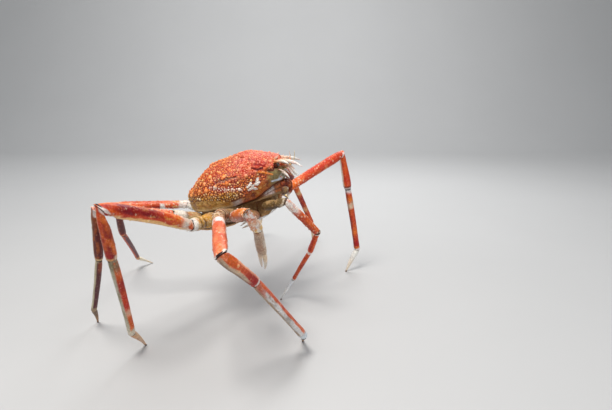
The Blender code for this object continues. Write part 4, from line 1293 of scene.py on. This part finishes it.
# Lines of the flanks, as seen from the side: distance from the rear, height
SIDE_GROOVE = ((81, 56), (88, 59), (96, 56), (104, 60), (113, 58), (124, 58))
CHEEK_GROOVE = ((158, 66), (168, 60), (178, 61), (190, 54), (199, 50), (206, 56))
UPPER_GROOVE = ((164, 72), (176, 68), (188, 60))
CHEEK_RIDGE = ((166, 56), (176, 52), (188, 47), (196, 42))
CHEEK_PALE = ((192, 27), (206, 26), (214, 28))
FLANK_LINES = ((SIDE_GROOVE, -1.8, 2.4), (CHEEK_GROOVE, -2.6, 2.8), (UPPER_GROOVE, -1.6, 2.4),
               (CHEEK_RIDGE, 1.8, 2.4))
# Swellings of the back: height, middle and spread along it, middle and spread to each side
SWELLINGS = ((1.8, 140, 30, 0, 26), (1.8, 74, 18, 0, 15), (2.0, 74, 36, 62, 26), (1.0, 24, 14, 0, 18))
# White spots of the flank and cheek, as seen from the side
WHITE_ROW = ((66, 48), (80, 42), (94, 38), (104, 40), (112, 35), (128, 31))
CHEEK_WHITE = (((143, 24), (149, 26), (156, 22)), ((152, 30), (160, 34), (164, 42)), ((143, 32), (148, 36)),
               ((160, 30), (165, 34)))


def side_weight(x, z, line, width):
    """How near each point is to a line drawn on the flank: 1 on it, falling off over the width."""
    best = np.full(x.shape, 1e9)
    for (ax, az), (bx, bz) in zip(line, line[1:]):
        run, rise = bx - ax, bz - az
        s = np.clip(((x - ax) * run + (z - az) * rise) / (run * run + rise * rise), 0.0, 1.0)
        best = np.minimum(best, np.hypot(x - ax - s * run, z - az - s * rise))
    return np.exp(-(best / width) ** 2)


def shape_dome(points, normal):
    """Swellings, grooves and rims of the shell, added along its normals, in millimetres."""
    x, y, z = points[..., 0], np.abs(points[..., 1]), points[..., 2]
    upper = smooth_step(30, 50, z)
    lift = -0.8 * upper
    for height, at, spread, aside, spread_aside in SWELLINGS:
        lift += height * upper * np.exp(-(((x - at) / spread) ** 2 + ((y - aside) / spread_aside) ** 2))
    lift += 1.4 * np.exp(-(((x - 150) / 22) ** 2 + ((y - 72) / 18) ** 2 + ((z - 50) / 14) ** 2))
    for stations, depth, width in ((CERVICAL, 3.6, 4.5), (GUT_GROOVE, 2.4, 4.0)):
        for line in both_sides(stations):
            lift -= depth * line_weight(points, line, width)
    for line, height, width in FLANK_LINES:
        lift += height * side_weight(x, z, line, width)
    above = z - lower_edge(x)
    flank = smooth_step(30, 22, above) * smooth_step(0.5, 2.5, above)
    lift -= 1.3 * flank * hump(above, 12, 3.0)
    lift += 0.9 * flank * hump(above, 5.0, 3.0)
    lift += 1.0 * upper * fractal(points, 26.0, 3) + 0.7 * lattice(points, 11.0, 4) * (z > 0)
    under = smooth_step(2.4, 0.3, above) * (normal[..., 2] < 0)
    return points + normal * (lift * (1 - under))[..., None]


def grain_cover(x, z):
    """How closely the shell is covered with grains, and how coarse they are."""
    along = x / DOME_LENGTH
    low_line = np.interp(along, (0.0, 0.15, 0.25, 0.35, 0.5, 0.6, 0.7, 0.8, 1.0),
                         (16, 22, 22, 17, 8, 14, 22, 36, 46))
    cover = smooth_step(-6, 4, z - low_line)
    smooth_front = smooth_step(0.50, 0.72, along) * smooth_step(44, 60, z)
    cheek = smooth_step(0.80, 0.88, along) * (1 - smooth_step(48, 60, z))
    coarse = (1 - 0.45 * smooth_front) * (1 - 0.5 * cheek)
    return np.clip(cover * (1 - 0.15 * smooth_front) * (1 - 0.9 * cheek), 0.0, 1.0), coarse


def grain_sites(points, normal, rng):
    """Where the shell's grains stand and how large each is, densest on the back."""
    rows, cols = points.shape[:2]
    cover, coarse = grain_cover(points[..., 0], points[..., 2])
    cell = {}
    sites = []
    for along, turn, height, radius in knob_places(random.Random(11)):
        sites.append((dome_back(along, turn), radius, height * 0.85, 1.0, rng.uniform(-0.2, 0.6)))
    for at, radius, *_ in sites:
        cell.setdefault(tuple((at // GRAIN_CELL).astype(int)), []).append((at, radius * 0.8))
    for turn in range(GRAIN_SIZES[-1][0]):
        i, j = rng.randrange(4, rows - 4), rng.randrange(cols)
        at = points[i, j]
        below = normal[i, j, 2] < -0.55 or at[2] - lower_edge(at[0]) < 5.0
        if below or rng.random() > max(cover[i, j], 0.05):
            continue
        largest = next(size for tries, size in GRAIN_SIZES if turn < tries)
        radius = rng.uniform(0.55 * largest, largest) * (0.55 + 0.45 * coarse[i, j])
        key = (at // GRAIN_CELL).astype(int)
        near = [s for a in (-1, 0, 1) for b in (-1, 0, 1) for c in (-1, 0, 1)
                for s in cell.get((key[0] + a, key[1] + b, key[2] + c), ())]
        if any(np.dot(at - p, at - p) < ((radius + r) * 0.98) ** 2 for p, r in near):
            continue
        cell.setdefault(tuple(key), []).append((at, radius))
        height = radius * rng.uniform(0.50, 0.92) * (0.45 + 0.55 * coarse[i, j])
        sites.append((at, radius, height, 0.0, rng.uniform(-1.0, 1.0)))
    return sites


def raise_sites(points, normal, sites):
    """Lifts each site's grain out of the grid. Returns the points, grains, large knobs and tones."""
    rows = points[:, 0, 0]
    lift = np.zeros(points.shape[:2])
    grain = np.zeros(points.shape[:2])
    knob = np.zeros(points.shape[:2])
    tone = np.zeros(points.shape[:2])
    for at, radius, height, large, shade in sites:
        low = np.searchsorted(rows, at[0] - radius * 1.7)
        high = np.searchsorted(rows, at[0] + radius * 1.7)
        if high <= low:
            continue
        gone = ((points[low:high] - at) ** 2).sum(-1) / (radius * radius * (2.2 if large else 1.0))
        dome = np.clip(1 - gone, 0, 1)
        lift[low:high] = np.maximum(lift[low:high], height * dome ** (1.6 if large else 1.2))
        tone[low:high] = np.where(dome > grain[low:high], shade, tone[low:high])
        grain[low:high] = np.maximum(grain[low:high], dome)
        if large:
            knob[low:high] = np.maximum(knob[low:high], dome)
    lean = unit(normal + np.array((0.22, 0.0, 0.12)))
    return points + lean * lift[..., None], grain, knob, tone


def paint_back(points, grain, knob, tone, small, tiny):
    """Grains, yellow orange behind and below and pinker in front, with dark gaps between them."""
    x, z = points[..., 0], points[..., 2]
    along = x / DOME_LENGTH
    broad = fractal(points, 36.0, 21)
    front = smooth_step(0.42, 0.66, along + 0.08 * broad) * smooth_step(46, 64, z)
    tip = mix((232, 136, 76), (238, 142, 116), front)
    tip = mix(tip, (216, 92, 56), smooth_step(0.0, 0.5, broad) * 0.6)
    tip = mix(tip, (246, 198, 134), smooth_step(0.25, 0.9, tone) * (0.9 - 0.35 * front))
    tip = mix(tip, (196, 70, 40), smooth_step(0.3, 1.0, -tone) * 0.7)
    gap = mix((128, 44, 24), (200, 80, 62), front)
    gap = mix(gap, (104, 30, 18), 0.6 * smooth_step(0.05, 0.5, small))
    gap = mix(gap, (176, 60, 44), 0.7 * smooth_step(52, 72, z) * (1 - front))
    olive = (1 - smooth_step(24, 42, z)) * (1 - smooth_step(0.50, 0.62, along))
    tip = mix(tip, mix((222, 176, 92), (196, 182, 150), smooth_step(0.0, 0.8, tone)), 0.8 * olive)
    gap = mix(gap, (112, 78, 40), 0.75 * olive)
    tint = mix(gap, tip, smooth_step(0.05, 0.60, grain))
    tint = mix(tint, (238, 176, 134), 0.25 * smooth_step(0.4, 1.0, knob))
    for line in both_sides(CERVICAL) + both_sides(GUT_GROOVE):
        tint = mix(tint, (150, 50, 34), 0.5 * line_weight(points, line, 4.5))
    tint = mix(tint, (78, 22, 16), 0.85 * side_weight(x, z + 1.2 * small, SIDE_GROOVE, 2.2))
    tint = mix(tint, (240, 180, 150), 0.6 * side_weight(x, z + 1.5, SIDE_GROOVE, 1.6)
               * smooth_step(-0.2, 0.4, tiny))
    near = side_weight(x, z + 3.0 * small, WHITE_ROW, 4.4)
    tint = mix(tint, (160, 62, 58), 0.6 * near * (1 - grain))
    return mix(tint, (248, 234, 218), 0.95 * smooth_step(0.25, 0.7, near) * smooth_step(0.10, 0.5, grain)
               * smooth_step(-0.5, 0.1, tone + 0.4))


def paint_flank(points, above, small, tiny):
    """The bare flank below the grains: tan behind, grey at the middle, streaked red brown ahead."""
    z, along = points[..., 2], points[..., 0] / DOME_LENGTH
    flank = mix((178, 138, 78), (212, 176, 108), smooth_step(-0.3, 0.5, small))
    flank = mix(flank, (138, 92, 52), 0.7 * smooth_step(0.1, 0.6, tiny))
    flank = mix(flank, (180, 170, 168), 0.9 * smooth_step(0.44, 0.50, along)
                * (1 - smooth_step(0.56, 0.60, along)) * (1 - smooth_step(12, 17, above)))
    ahead = smooth_step(0.53, 0.60, along + 0.02 * small)
    streak = lattice(points * np.array((0.35, 1.0, 1.0)), 3.0, 34)
    band = mix((170, 92, 42), (124, 54, 26), smooth_step(0.0, 0.4, small))
    band = mix(band, (206, 158, 92), 0.75 * smooth_step(0.15, 0.6, streak) * smooth_step(6, 14, above))
    flank = mix(flank, band, ahead)
    flank = mix(flank, (196, 110, 72), ahead * smooth_step(24, 36, z)
                * (1 - smooth_step(0.80, 0.86, along)))
    flank = mix(flank, (126, 116, 76), smooth_step(0.82, 0.90, along) * 0.9)
    return mix(flank, (168, 166, 156), smooth_step(0.88, 0.92, along) * smooth_step(0.1, 0.5, small))


def paint_cheek(tint, x, z, small, tiny):
    """White spots, dark grooves and an orange ridge below and behind the eye."""
    pale = np.zeros(x.shape)
    for spot in CHEEK_WHITE:
        pale = np.maximum(pale, side_weight(x, z, spot, 3.6))
    tint = mix(tint, (240, 234, 226), 0.95 * smooth_step(0.42, 0.72, pale + 0.45 * small + 0.3 * tiny))
    for color, amount, low, line, width, ragged in (
            ((206, 214, 226), 0.9, 0.3, CHEEK_PALE, 2.6, 0.3 * small),
            ((104, 20, 24), 0.9, 0.25, CHEEK_GROOVE, 2.8, 0.2 * small),
            ((150, 34, 40), 0.8, 0.3, UPPER_GROOVE, 2.2, 0.2 * small),
            ((232, 138, 70), 0.9, 0.35, CHEEK_RIDGE, 2.6, 0.2 * tiny)):
        near = side_weight(x, z, line, width) + ragged
        tint = mix(tint, color, amount * smooth_step(low, 0.8, near))
    return tint


def paint_dome(points, normal, grain, knob, tone):
    x, z = points[..., 0], points[..., 2]
    along = x / DOME_LENGTH
    above = z - lower_edge(x)
    cover, _ = grain_cover(x, z)
    small, tiny = fractal(points, 9.0, 31), lattice(points, 3.4, 33)
    tint = paint_back(points, grain, knob, tone, small, tiny)
    bare = 1 - smooth_step(0.2, 0.8, cover + 0.22 * small)
    tint = mix(tint, paint_flank(points, above, small, tiny), bare)
    rim = hump(above, 4.0, 4.0) * smooth_step(0.04, 0.10, along)
    rim = rim * (1 - smooth_step(0.42, 0.50, along))
    tint = mix(tint, (228, 208, 164), 0.9 * rim)
    # painted shadow: a dark red line along the front half of the lower edge
    edge = hump(above, 1.5, 2.2) * smooth_step(0.50, 0.58, along)
    tint = mix(tint, (108, 24, 20), 0.85 * edge)
    tint = paint_cheek(tint, x, z, small, tiny)
    # the shell's underside below its lower edge, brown: partly its own colour, partly painted shade
    under = smooth_step(2.4, 0.4, above) * (normal[..., 2] < -0.3)
    return mix(tint, (104, 66, 42), under)


def on_side(place, sign):
    """A place of the left side, or its mirror image on the right."""
    return vec((place[0], sign * place[1], place[2]))


def eye_foot(sign):
    """The middle of one eye socket, on the socket's plane."""
    plane = unit(on_side(ORBIT_NORMAL, sign))
    foot = on_side(EYE_FOOT, sign)
    return foot - plane * ((foot - on_side(ORBIT_AT, sign)) @ plane)


def spine_grid(path, radii, seed):
    """A tapered spine with a flared foot, its path in the body's frame."""
    stations = np.column_stack((vec(path), vec(radii), vec(radii)))
    line = path_through(stations, 46)
    flare = 1.0 + 0.35 * np.exp(-np.linspace(0, 1, 46) / 0.07)
    grid, out = sweep(line[:, :3], line[:, 3] * flare, line[:, 4] * flare, unit(vec((0.31, 0.87, 0.38))), 32)
    bumps = 0.32 * lattice(grid, 5.0, seed) * np.minimum(1.0, line[:, 3] / 3.0)[:, None]
    return grid + out * bumps[..., None], out


def spine_tint(grid, out, pale, seed):
    t = np.broadcast_to(np.linspace(0, 1, grid.shape[0])[:, None], grid.shape[:2])
    coats = [layer(CREAM, 0.85 * pale, (0.25, 1.0, 0.2)),
             layer(WHITE, pale, (0.5, 1.0, 0.2)),
             layer((206, 104, 56), 0.7 - 0.4 * pale, patch=(8.0, 0.1)),
             # painted shade: darker brown on the faces that point down
             layer((150, 116, 76), 0.6 - 0.35 * pale, face=(DOWN, 0.2, 0.9))]
    return paint(grid, out, t, mix((206, 104, 74), (214, 150, 96), 0.6 * pale), coats, seed)


def build_shell(finish):
    rows, upper, lower = 330, 400, 150
    along = np.concatenate((np.linspace(-0.012, 0.03, 14, endpoint=False), np.linspace(0.03, 1.0, rows - 14)))
    sizes = smooth_table([d[0] for d in DOME], [d[1:] for d in DOME], along)
    rings = []
    for place, size in zip(along, sizes):
        ring = dome_ring(size, back_power(place), upper, lower)
        rings.append(np.column_stack((np.full(len(ring), place * DOME_LENGTH), ring)))
    last = rings[-1]
    middle = last.mean(0)
    for degrees in range(6, 90, 6):
        phi = math.radians(degrees)
        ring = middle + (last - middle) * math.cos(phi) ** 0.75
        ring[:, 0] = DOME_LENGTH + DOME_NOSE * math.sin(phi)
        rings.append(ring)
    points = np.stack(rings)
    points = shape_dome(points, grid_normals(points))
    for _, sign in SIDES:
        plane = unit(on_side(ORBIT_NORMAL, sign))
        over = (points - on_side(ORBIT_AT, sign)) @ plane
        cut = (0.5 * (over + np.sqrt(over ** 2 + 4.0)))[..., None]
        points = points - plane * cut * (over > -8)[..., None]
        foot = eye_foot(sign)
        away = np.linalg.norm(points - foot, axis=-1)
        points = points - plane * (3.4 * np.exp(-(away / 6.0) ** 4))[..., None]
        points = points + plane * (0.9 * hump(away, 8.6, 2.0))[..., None]
    normal = grid_normals(points)
    sites = grain_sites(points, normal, random.Random(5))
    points, grain, knob, tone = raise_sites(points, normal, sites)
    tint = paint_dome(points, normal, grain, knob, tone)
    # painted shade: dark red brown in the hollow around each eye's foot
    for _, sign in SIDES:
        away = np.linalg.norm(points - eye_foot(sign), axis=-1)
        tint = mix(tint, (70, 28, 22), 0.85 * (1 - smooth_step(5.5, 9.0, away)))
    surface = Surface()
    surface.tube(from_body(points), tint)
    for _, sign in SIDES:
        for n, (path, radii, pale) in enumerate(FACE_SPINES):
            grid, out = spine_grid([(x, sign * y, z) for x, y, z in path], radii, 40 + n)
            surface.tube(from_body(grid), spine_tint(grid, out, pale, 60 + n))
    path, radii = SNOUT
    line = path_through(np.column_stack((vec(path), vec(radii), vec(radii) * 0.5)), 60)
    grid, out = sweep(line[:, :3], line[:, 3], line[:, 4], AWAY, 60)
    grid = grid + out * (0.5 * fractal(grid, 6.0, 58))[..., None]
    surface.tube(from_body(grid), spine_tint(grid, out, 0.1, 59))
    surface.make("carapace_skin", ["carapace"], finish)


def copy_remeshed(node, name, voxel, smoothing):
    """A finer copy of one solid with rounded edges; returns its points and faces in millimetres."""
    item = add_object(name + "_work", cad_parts[node].data.copy())
    remesh = item.modifiers.new("remesh", "REMESH")
    remesh.mode = "VOXEL"
    remesh.voxel_size = voxel * MM
    smooth = item.modifiers.new("smooth", "SMOOTH")
    smooth.factor, smooth.iterations = 0.5, smoothing
    graph = bpy.context.evaluated_depsgraph_get()
    mesh = bpy.data.meshes.new_from_object(item.evaluated_get(graph))
    bpy.data.objects.remove(item, do_unlink=True)
    points = np.empty(len(mesh.vertices) * 3, np.float32)
    mesh.vertices.foreach_get("co", points)
    normals = np.empty(len(mesh.vertices) * 3, np.float32)
    mesh.vertices.foreach_get("normal", normals)
    return mesh, points.reshape(-1, 3).astype(float) / MM - SHIFT, normals.reshape(-1, 3).astype(float)


def finish_mesh(mesh, name, points, tint, nodes, finish):
    mesh.name = name
    mesh.vertices.foreach_set("co", ((points + SHIFT) * MM).astype(np.float32).ravel())
    mesh.materials.clear()
    mesh.update()
    set_in_place(mesh, name, np.clip(tint, 0, 1), nodes, finish)


# Where each seam of the chest crosses the middle, and where it is 60 mm to the side
CHEST_SEAMS = ((43, 30), (78, 62), (118, 96), (152, 140))


def build_chest(finish):
    mesh, points, normals = copy_remeshed("chest", "chest", 1.2, 14)
    body = (points - vec(BODY_AT)) @ TURN
    across = np.abs(body[:, 1])
    front = smooth_step(0.55, 0.85, normals @ TURN[:, 0])
    inward = np.zeros(len(body))
    for a, b in CHEST_SEAMS:
        x_here = a + (b - a) * across / 60.0
        low = smooth_step(-12, -24, body[:, 2])
        inward -= 1.8 * low * hump(body[:, 0], x_here, 2.0)
    inward -= 1.6 * hump(body[:, 1], 0.0, 2.4) * smooth_step(-40, -48, body[:, 2])
    frame_rim = front * hump(across, 27.0, 2.6)
    furrow = front * hump(across, 33.0, 2.2)
    beads = smooth_step(0.25, 0.75, lattice(points, 4.2, 53))
    inward += 1.3 * frame_rim - 1.4 * furrow + 0.55 * beads * (1 - smooth_step(-40, -30, -body[:, 2] - 70))
    points = points + normals * inward[:, None] + normals * (0.5 * fractal(points, 11.0, 51))[:, None]
    small = fractal(points, 12.0, 52)
    tint = mix((150, 110, 70), (186, 146, 100), smooth_step(-0.3, 0.5, small))
    tint = mix(tint, (150, 88, 54), 0.7 * smooth_step(0.4, 1.4, -inward))
    # painted shade: darker brown towards the top of the chest, under the shell
    tint = mix(tint, (110, 70, 44), 0.7 * smooth_step(-24, -10, body[:, 2]))
    tint = mix(tint, (122, 96, 60), 0.8 * smooth_step(150, 176, body[:, 0]))
    tint = mix(tint, (196, 166, 118), 0.6 * beads)
    tint = mix(tint, (70, 40, 24), 0.8 * furrow)
    # painted shade: dark on the front faces near the middle, behind the mouth plates
    tint = mix(tint, (58, 30, 22), 0.7 * front * (1 - smooth_step(20.0, 25.0, across)))
    tint = mix(tint, (206, 176, 132), 0.6 * frame_rim)
    finish_mesh(mesh, "chest_skin", points, tint, ["chest"], finish)


# Along the tail flap: distance from the shell's rear, half width, depth of its underside
FLAP = ((2, 16, 55), (12, 28, 58), (40, 38, 61), (75, 36, 61), (100, 22, 57), (108, 10, 55))
FLAP_SEAMS = (12, 27, 43, 59, 74, 89, 101)


def build_abdomen(finish):
    """The folded tail flap: seven plates with a step at each seam."""
    x = np.linspace(FLAP[0][0], FLAP[-1][0], 150)
    wide, low = smooth_table([f[0] for f in FLAP], [f[1:] for f in FLAP], x).T
    past = x[:, None] - vec(FLAP_SEAMS)[None]
    gone = np.min(np.where(past >= 0, past, 99.0), axis=1)
    step = 1.5 * np.exp(-gone / 3.0)
    angle = np.linspace(0, math.pi, 60)
    rings = []
    for k in range(len(x)):
        depth = (low[k] - 53.6 - step[k])
        y = wide[k] * np.cos(angle)
        z = -53.5 - depth * np.sin(angle) ** 0.45
        z = z + 0.9 * hump(np.abs(y), wide[k] * 0.42, 3.0) * (np.sin(angle) > 0.2)
        over_y = wide[k] * np.cos(angle[::-1])[1:-1] * 0.98
        ring = np.concatenate((np.stack((y, z), 1), np.stack((over_y, np.full(58, -53.45)), 1)))
        rings.append(np.column_stack((np.full(len(ring), x[k]), ring)))
    points = np.stack(rings)
    small = fractal(points, 12.0, 61)
    tint = mix((208, 160, 118), (232, 202, 164), smooth_step(-0.3, 0.5, small))
    tint = mix(tint, (150, 84, 52), (step / 1.5)[:, None] * 0.7)
    make_tube("abdomen_skin", ["abdomen"], finish, points, tint)


# The feeler-like leg on each mouth plate: path, half width, half depth
PALP = ((203, 17, 8, 8.0, 6.4), (213, 18, 13, 9.4, 8.0), (223, 17, 11, 8.4, 7.2), (229, 15, 2, 6.2, 5.4),
        (227, 13, -8, 4.8, 4.2), (221, 12, -15, 3.0, 2.8), (217, 11, -20, 0.9, 0.9))
# The two pieces of a plate: top, bottom, distance from the rear, half width
MOUTH_PIECES = ((-7.6, -23.4, 204.0, 9.4), (-24.2, -34.0, 202.5, 8.4))


def build_mouth(finishes):
    """The outer mouth plates, each of two pieces, with the feeler-like leg on each plate."""
    for side, sign in SIDES:
        surface = Surface()
        for z_top, z_low, x_mid, wide in MOUTH_PIECES:
            count = 40
            z = np.linspace(z_top, z_low, count)
            t = np.linspace(-1, 1, count)
            round_end = np.maximum(1 - np.abs(t) ** 9, 0.0) ** 0.4 * 0.98 + 0.02
            path = np.column_stack((np.full(count, x_mid - 3.6), np.full(count, sign * 11.0), z))
            grid, out = sweep(path, wide * round_end, 4.0 * round_end + 0.3, AWAY, 64)
            middle = path[:, None, :]
            square = np.abs((grid - middle)[..., 1]) / wide
            fuller = 0.16 * smooth_step(0.45, 0.8, square) * (1 - smooth_step(0.9, 1.0, square))
            grid = grid + (grid - middle) * fuller[..., None]
            groove = hump(grid[..., 1], sign * 14.0, 1.3) * (out[..., 0] > 0)
            grid = grid - np.array((1.1, 0, 0)) * groove[..., None]
            small = fractal(grid, 6.0, 71)
            tint = mix((172, 112, 70), (206, 164, 116), smooth_step(-0.3, 0.5, small))
            tint = mix(tint, (84, 50, 30), 0.7 * groove)
            tint = mix(tint, (232, 224, 206), 0.8 * smooth_step(0.4, 0.9, out[..., 0])
                       * smooth_step(0.0, 0.4, small))
            surface.tube(from_body(grid), tint)
        line = path_through([(x, sign * y, z, a, b) for x, y, z, a, b in PALP], 120)
        gone = np.linspace(0, 1, 120)
        notch = 1 - 0.22 * hump(gone, 0.30, 0.02) - 0.22 * hump(gone, 0.62, 0.02)
        grid, out = sweep(line[:, :3], line[:, 3] * notch, line[:, 4] * notch, AWAY, 40)
        small = fractal(grid, 5.0, 76)
        grid = grid + out * (0.4 * small)[..., None]
        tint = mix((112, 46, 28), (176, 92, 50), smooth_step(-0.1, 0.5, small))
        tint = mix(tint, (230, 222, 210), 0.8 * smooth_step(0.72, 0.9, gone)[:, None])
        surface.tube(from_body(grid), tint)
        surface.make("mouth_plate_" + side + "_skin", ["mouth_plate_" + side], finishes["belly"])


def build_mouth_wall(finish):
    """The wall that closes the front between the shell's rising edge and the chest."""
    rows, flat, side = 110, 60, 24
    along = np.linspace(MOUTH_WALL[0][0], MOUTH_WALL[-1][0], rows)
    edge = smooth_table([d[0] for d in DOME], [d[4:6] for d in DOME], along)
    flare = np.interp(along, [m[0] for m in MOUTH_WALL], [m[1] for m in MOUTH_WALL])
    rings = []
    for place, (wide, low), more in zip(along, edge, flare):
        top, under = low - 2 * HALF_GAP, DOME_FLOOR + 0.02
        s = np.linspace(0, 1, side)
        bulge = wide - 1.0 + (more + 1.0) * s + (0.7 * more - 0.5 * (more + 1.0)) * 4 * s * (1 - s)
        left = np.column_stack((bulge, top + (under - top) * s))
        share = np.linspace(-1, 1, flat)[1:-1]
        over = np.column_stack((share * (wide - 1.0), np.full(flat - 2, top)))
        below = np.column_stack((-share * (wide + more), np.full(flat - 2, under)))
        ring = np.concatenate((over, left, below, left[::-1] * (-1, 1)))
        rings.append(np.column_stack((np.full(len(ring), place * DOME_LENGTH), ring)))
    points = np.stack(rings)
    normal = grid_normals(points)
    x, y, z = points[..., 0], np.abs(points[..., 1]), points[..., 2]
    free = smooth_step(0.0, 1.2, lower_edge(x) - z) * smooth_step(0.0, 1.2, z - DOME_FLOOR)
    free = free * smooth_step(0.3, 0.8, y / 20)
    small, tiny = fractal(points, 8.0, 72), lattice(points, 3.0, 73)
    seam = np.exp(-((z - 0.45 * lower_edge(x) + 2.0) / 1.4) ** 2)
    points = points + normal * (free * (0.7 * small + 0.25 * tiny - 1.1 * seam))[..., None]
    tint = mix((116, 66, 38), (176, 96, 50), smooth_step(-0.2, 0.5, small))
    pale = (1 - smooth_step(188, 196, x + 5 * small)) * smooth_step(164, 176, x) * smooth_step(-6, 0, z)
    tint = mix(tint, (186, 178, 176), 0.75 * pale)
    tint = mix(tint, (104, 82, 50), 0.85 * (1 - smooth_step(-3.0, 1.0, z)))
    tint = mix(tint, (84, 40, 24), 0.7 * seam)
    tint = mix(tint, (96, 58, 34), 0.6 * smooth_step(0.2, 0.6, tiny))
    make_tube("mouth_wall_skin", ["mouth_wall"], finish, points, tint)


def build_eyes(finishes):
    for side, sign in SIDES:
        plane = unit(on_side(ORBIT_NORMAL, sign))
        foot = eye_foot(sign)
        reach = np.linspace(-3.6, 6.6, 40)
        size = np.interp(reach, (-3.6, 0.0, 2.4, 4.0, 5.4, 6.2, 6.6), (3.2, 3.0, 2.8, 3.4, 3.9, 3.8, 3.5))
        grid, _ = sweep(foot + plane[None] * reach[:, None], size, size, UP, 40)
        small = fractal(grid, 4.0, 81)
        tint = mix((96, 40, 34), (150, 90, 70), smooth_step(-0.2, 0.4, small))
        make_tube("eye_stalk_" + side, [], finishes["limb"], grid, tint)
        angle = np.radians(np.linspace(-60, 88, 44))
        size = CORNEA_RADIUS * np.cos(angle)
        grid, _ = sweep(foot + plane[None] * (6.4 + 3.9 * np.sin(angle))[:, None], size, size, UP, 48)
        tint = np.broadcast_to(DARK, grid.shape)
        make_tube("eye_" + side + "_cornea", ["eye_" + side], finishes["eye"], grid, tint)


def build_feelers(finish):
    """Feelers: three stout base joints, then a whip of many short rings."""
    for side, sign in SIDES:
        path = [(DOME_LENGTH - 1.0, sign * FEELER_ROOT[0], FEELER_ROOT[1])]
        path += [(x, sign * y, z) for x, y, z in FEELER]
        line = path_through([(*p, r, r) for p, r in zip(path, FEELER_RADII)], 240)
        gone = arc_length(line[:, :3])
        notch = np.zeros(len(gone))
        for at in FEELER_JOINTS:
            notch += 0.30 * hump(gone, at, 0.8)
            notch -= 0.10 * np.exp(-((gone - at + 2.2) / 1.2) ** 2)
        whip = smooth_step(25.0, 27.0, gone) * 0.10 * (0.5 + 0.5 * np.cos(gone * math.tau / 2.4))
        size = line[:, 3] * (1 - notch - whip) * (0.80 - 0.22 * smooth_step(20, 30, gone))
        grid, _ = sweep(line[:, :3], size, size, AWAY, 24)
        small = fractal(grid, 5.0, 91)
        tint = mix((196, 142, 88), (222, 190, 130), smooth_step(-0.3, 0.4, small))
        tint = mix(tint, (216, 206, 176), smooth_step(24, 34, gone)[:, None] * 0.8)
        tint = mix(tint, (110, 62, 38), np.clip(notch * 3, 0, 1)[:, None])
        make_tube("feeler_" + side + "_skin", ["feeler_" + side], finish, grid, tint)


# Stage

def build_stage():
    angle = np.linspace(0, math.pi / 2, 24)
    curve = [(3.2 + 1.6 * math.sin(a), 1.6 - 1.6 * math.cos(a)) for a in angle]
    profile = [(-4.0, 0.0)] + curve + [(4.8, 7.0)]
    verts = [(x, y, z) for y, z in profile for x in (-9.0, 9.0)]
    faces = [(2 * k, 2 * k + 1, 2 * k + 3, 2 * k + 2) for k in range(len(profile) - 1)]
    mesh = bpy.data.meshes.new("floor")
    mesh.from_pydata(verts, [], faces)
    mesh.shade_smooth()
    mesh.materials.append(floor_finish())
    add_object("floor", mesh)


def area_light(name, at, toward, size, energy, color):
    data = bpy.data.lights.new(name, "AREA")
    data.shape = "DISK"
    data.size, data.energy, data.color = size, energy, color
    light = add_object(name, data)
    light.location = at
    light.rotation_euler = (Vector(toward) - Vector(at)).to_track_quat("-Z", "Y").to_euler()


# Where each light stands, where it points, its size, power and colour, in metres and watts
LIGHTS = (
    ("key", (-0.35, -1.05, 2.2), (0.0, -0.15, 0.25), 0.9, 50.0, (1.0, 0.97, 0.93)),
    ("fill", (1.9, -1.7, 1.1), (0.0, -0.1, 0.25), 1.6, 12.0, (0.94, 0.97, 1.0)),
    ("back", (0.6, 1.6, 1.9), (0.0, 0.0, 0.3), 1.2, 18.0, (1.0, 1.0, 1.0)),
    ("backdrop", (0.0, 2.0, 3.2), (0.0, 4.6, 0.7), 3.0, 90.0, (1.0, 1.0, 1.0)),
)


def build_lights():
    for light in LIGHTS:
        area_light(*light)
    world = bpy.data.worlds.new("studio")
    world.use_nodes = True
    background = world.node_tree.nodes["Background"]
    background.inputs["Color"].default_value = (0.84, 0.88, 0.92, 1.0)
    background.inputs["Strength"].default_value = 0.38
    bpy.context.scene.world = world
    bpy.context.scene.view_settings.view_transform = "Standard"


def build_camera():
    data = bpy.data.cameras.new("camera")
    data.sensor_width = 36.0
    data.lens = CAMERA_LENS
    data.clip_start, data.clip_end = 0.05, 50.0
    camera = add_object("camera", data)
    camera.location = CAMERA_AT
    camera.rotation_euler = (math.radians(CAMERA_PITCH), 0.0, 0.0)
    bpy.context.scene.camera = camera


LEG_SEED, ARM_SEED, SEED_STEP = 100, 800, 60
FINISHES = {
    "shell": chitin("shell", mottle=46.0, grain=430.0, fleck=0.45, bump=0.5, bump_depth=0.0006, coat=0.12,
                    rough=(0.36, 0.62)),
    "belly": chitin("belly", mottle=60.0, grain=380.0, fleck=0.4, bump=0.45, coat=0.08, rough=(0.42, 0.70)),
    "hip": chitin("hip", mottle=60.0, grain=400.0, fleck=0.4, bump=0.45, coat=0.06),
    "limb": chitin("limb", mottle=48.0, grain=460.0, fleck=0.35, bump=0.38, bump_depth=0.0005, coat=0.10,
                   rough=(0.32, 0.56)),
    "arm": chitin("arm", mottle=60.0, grain=400.0, fleck=0.4, bump=0.45, coat=0.08),
    "tip": chitin("tip", mottle=70.0, grain=520.0, fleck=0.3, bump=0.35, coat=0.10),
    "feeler": chitin("feeler", mottle=90.0, grain=700.0, fleck=0.3, bump=0.4, coat=0.1),
    "eye": eye_finish(),
}

build_camera()
build_stage()
build_lights()
build_shell(FINISHES["shell"])
build_chest(FINISHES["belly"])
build_abdomen(FINISHES["belly"])
build_mouth(FINISHES)
build_mouth_wall(FINISHES["belly"])
build_eyes(FINISHES)
build_feelers(FINISHES["feeler"])
for count, (side, number) in enumerate(LEGS):
    build_leg(side, number, FINISHES, LEG_SEED + SEED_STEP * count)
for count, side in enumerate(ARMS):
    build_arm(side, FINISHES, ARM_SEED + SEED_STEP * count)
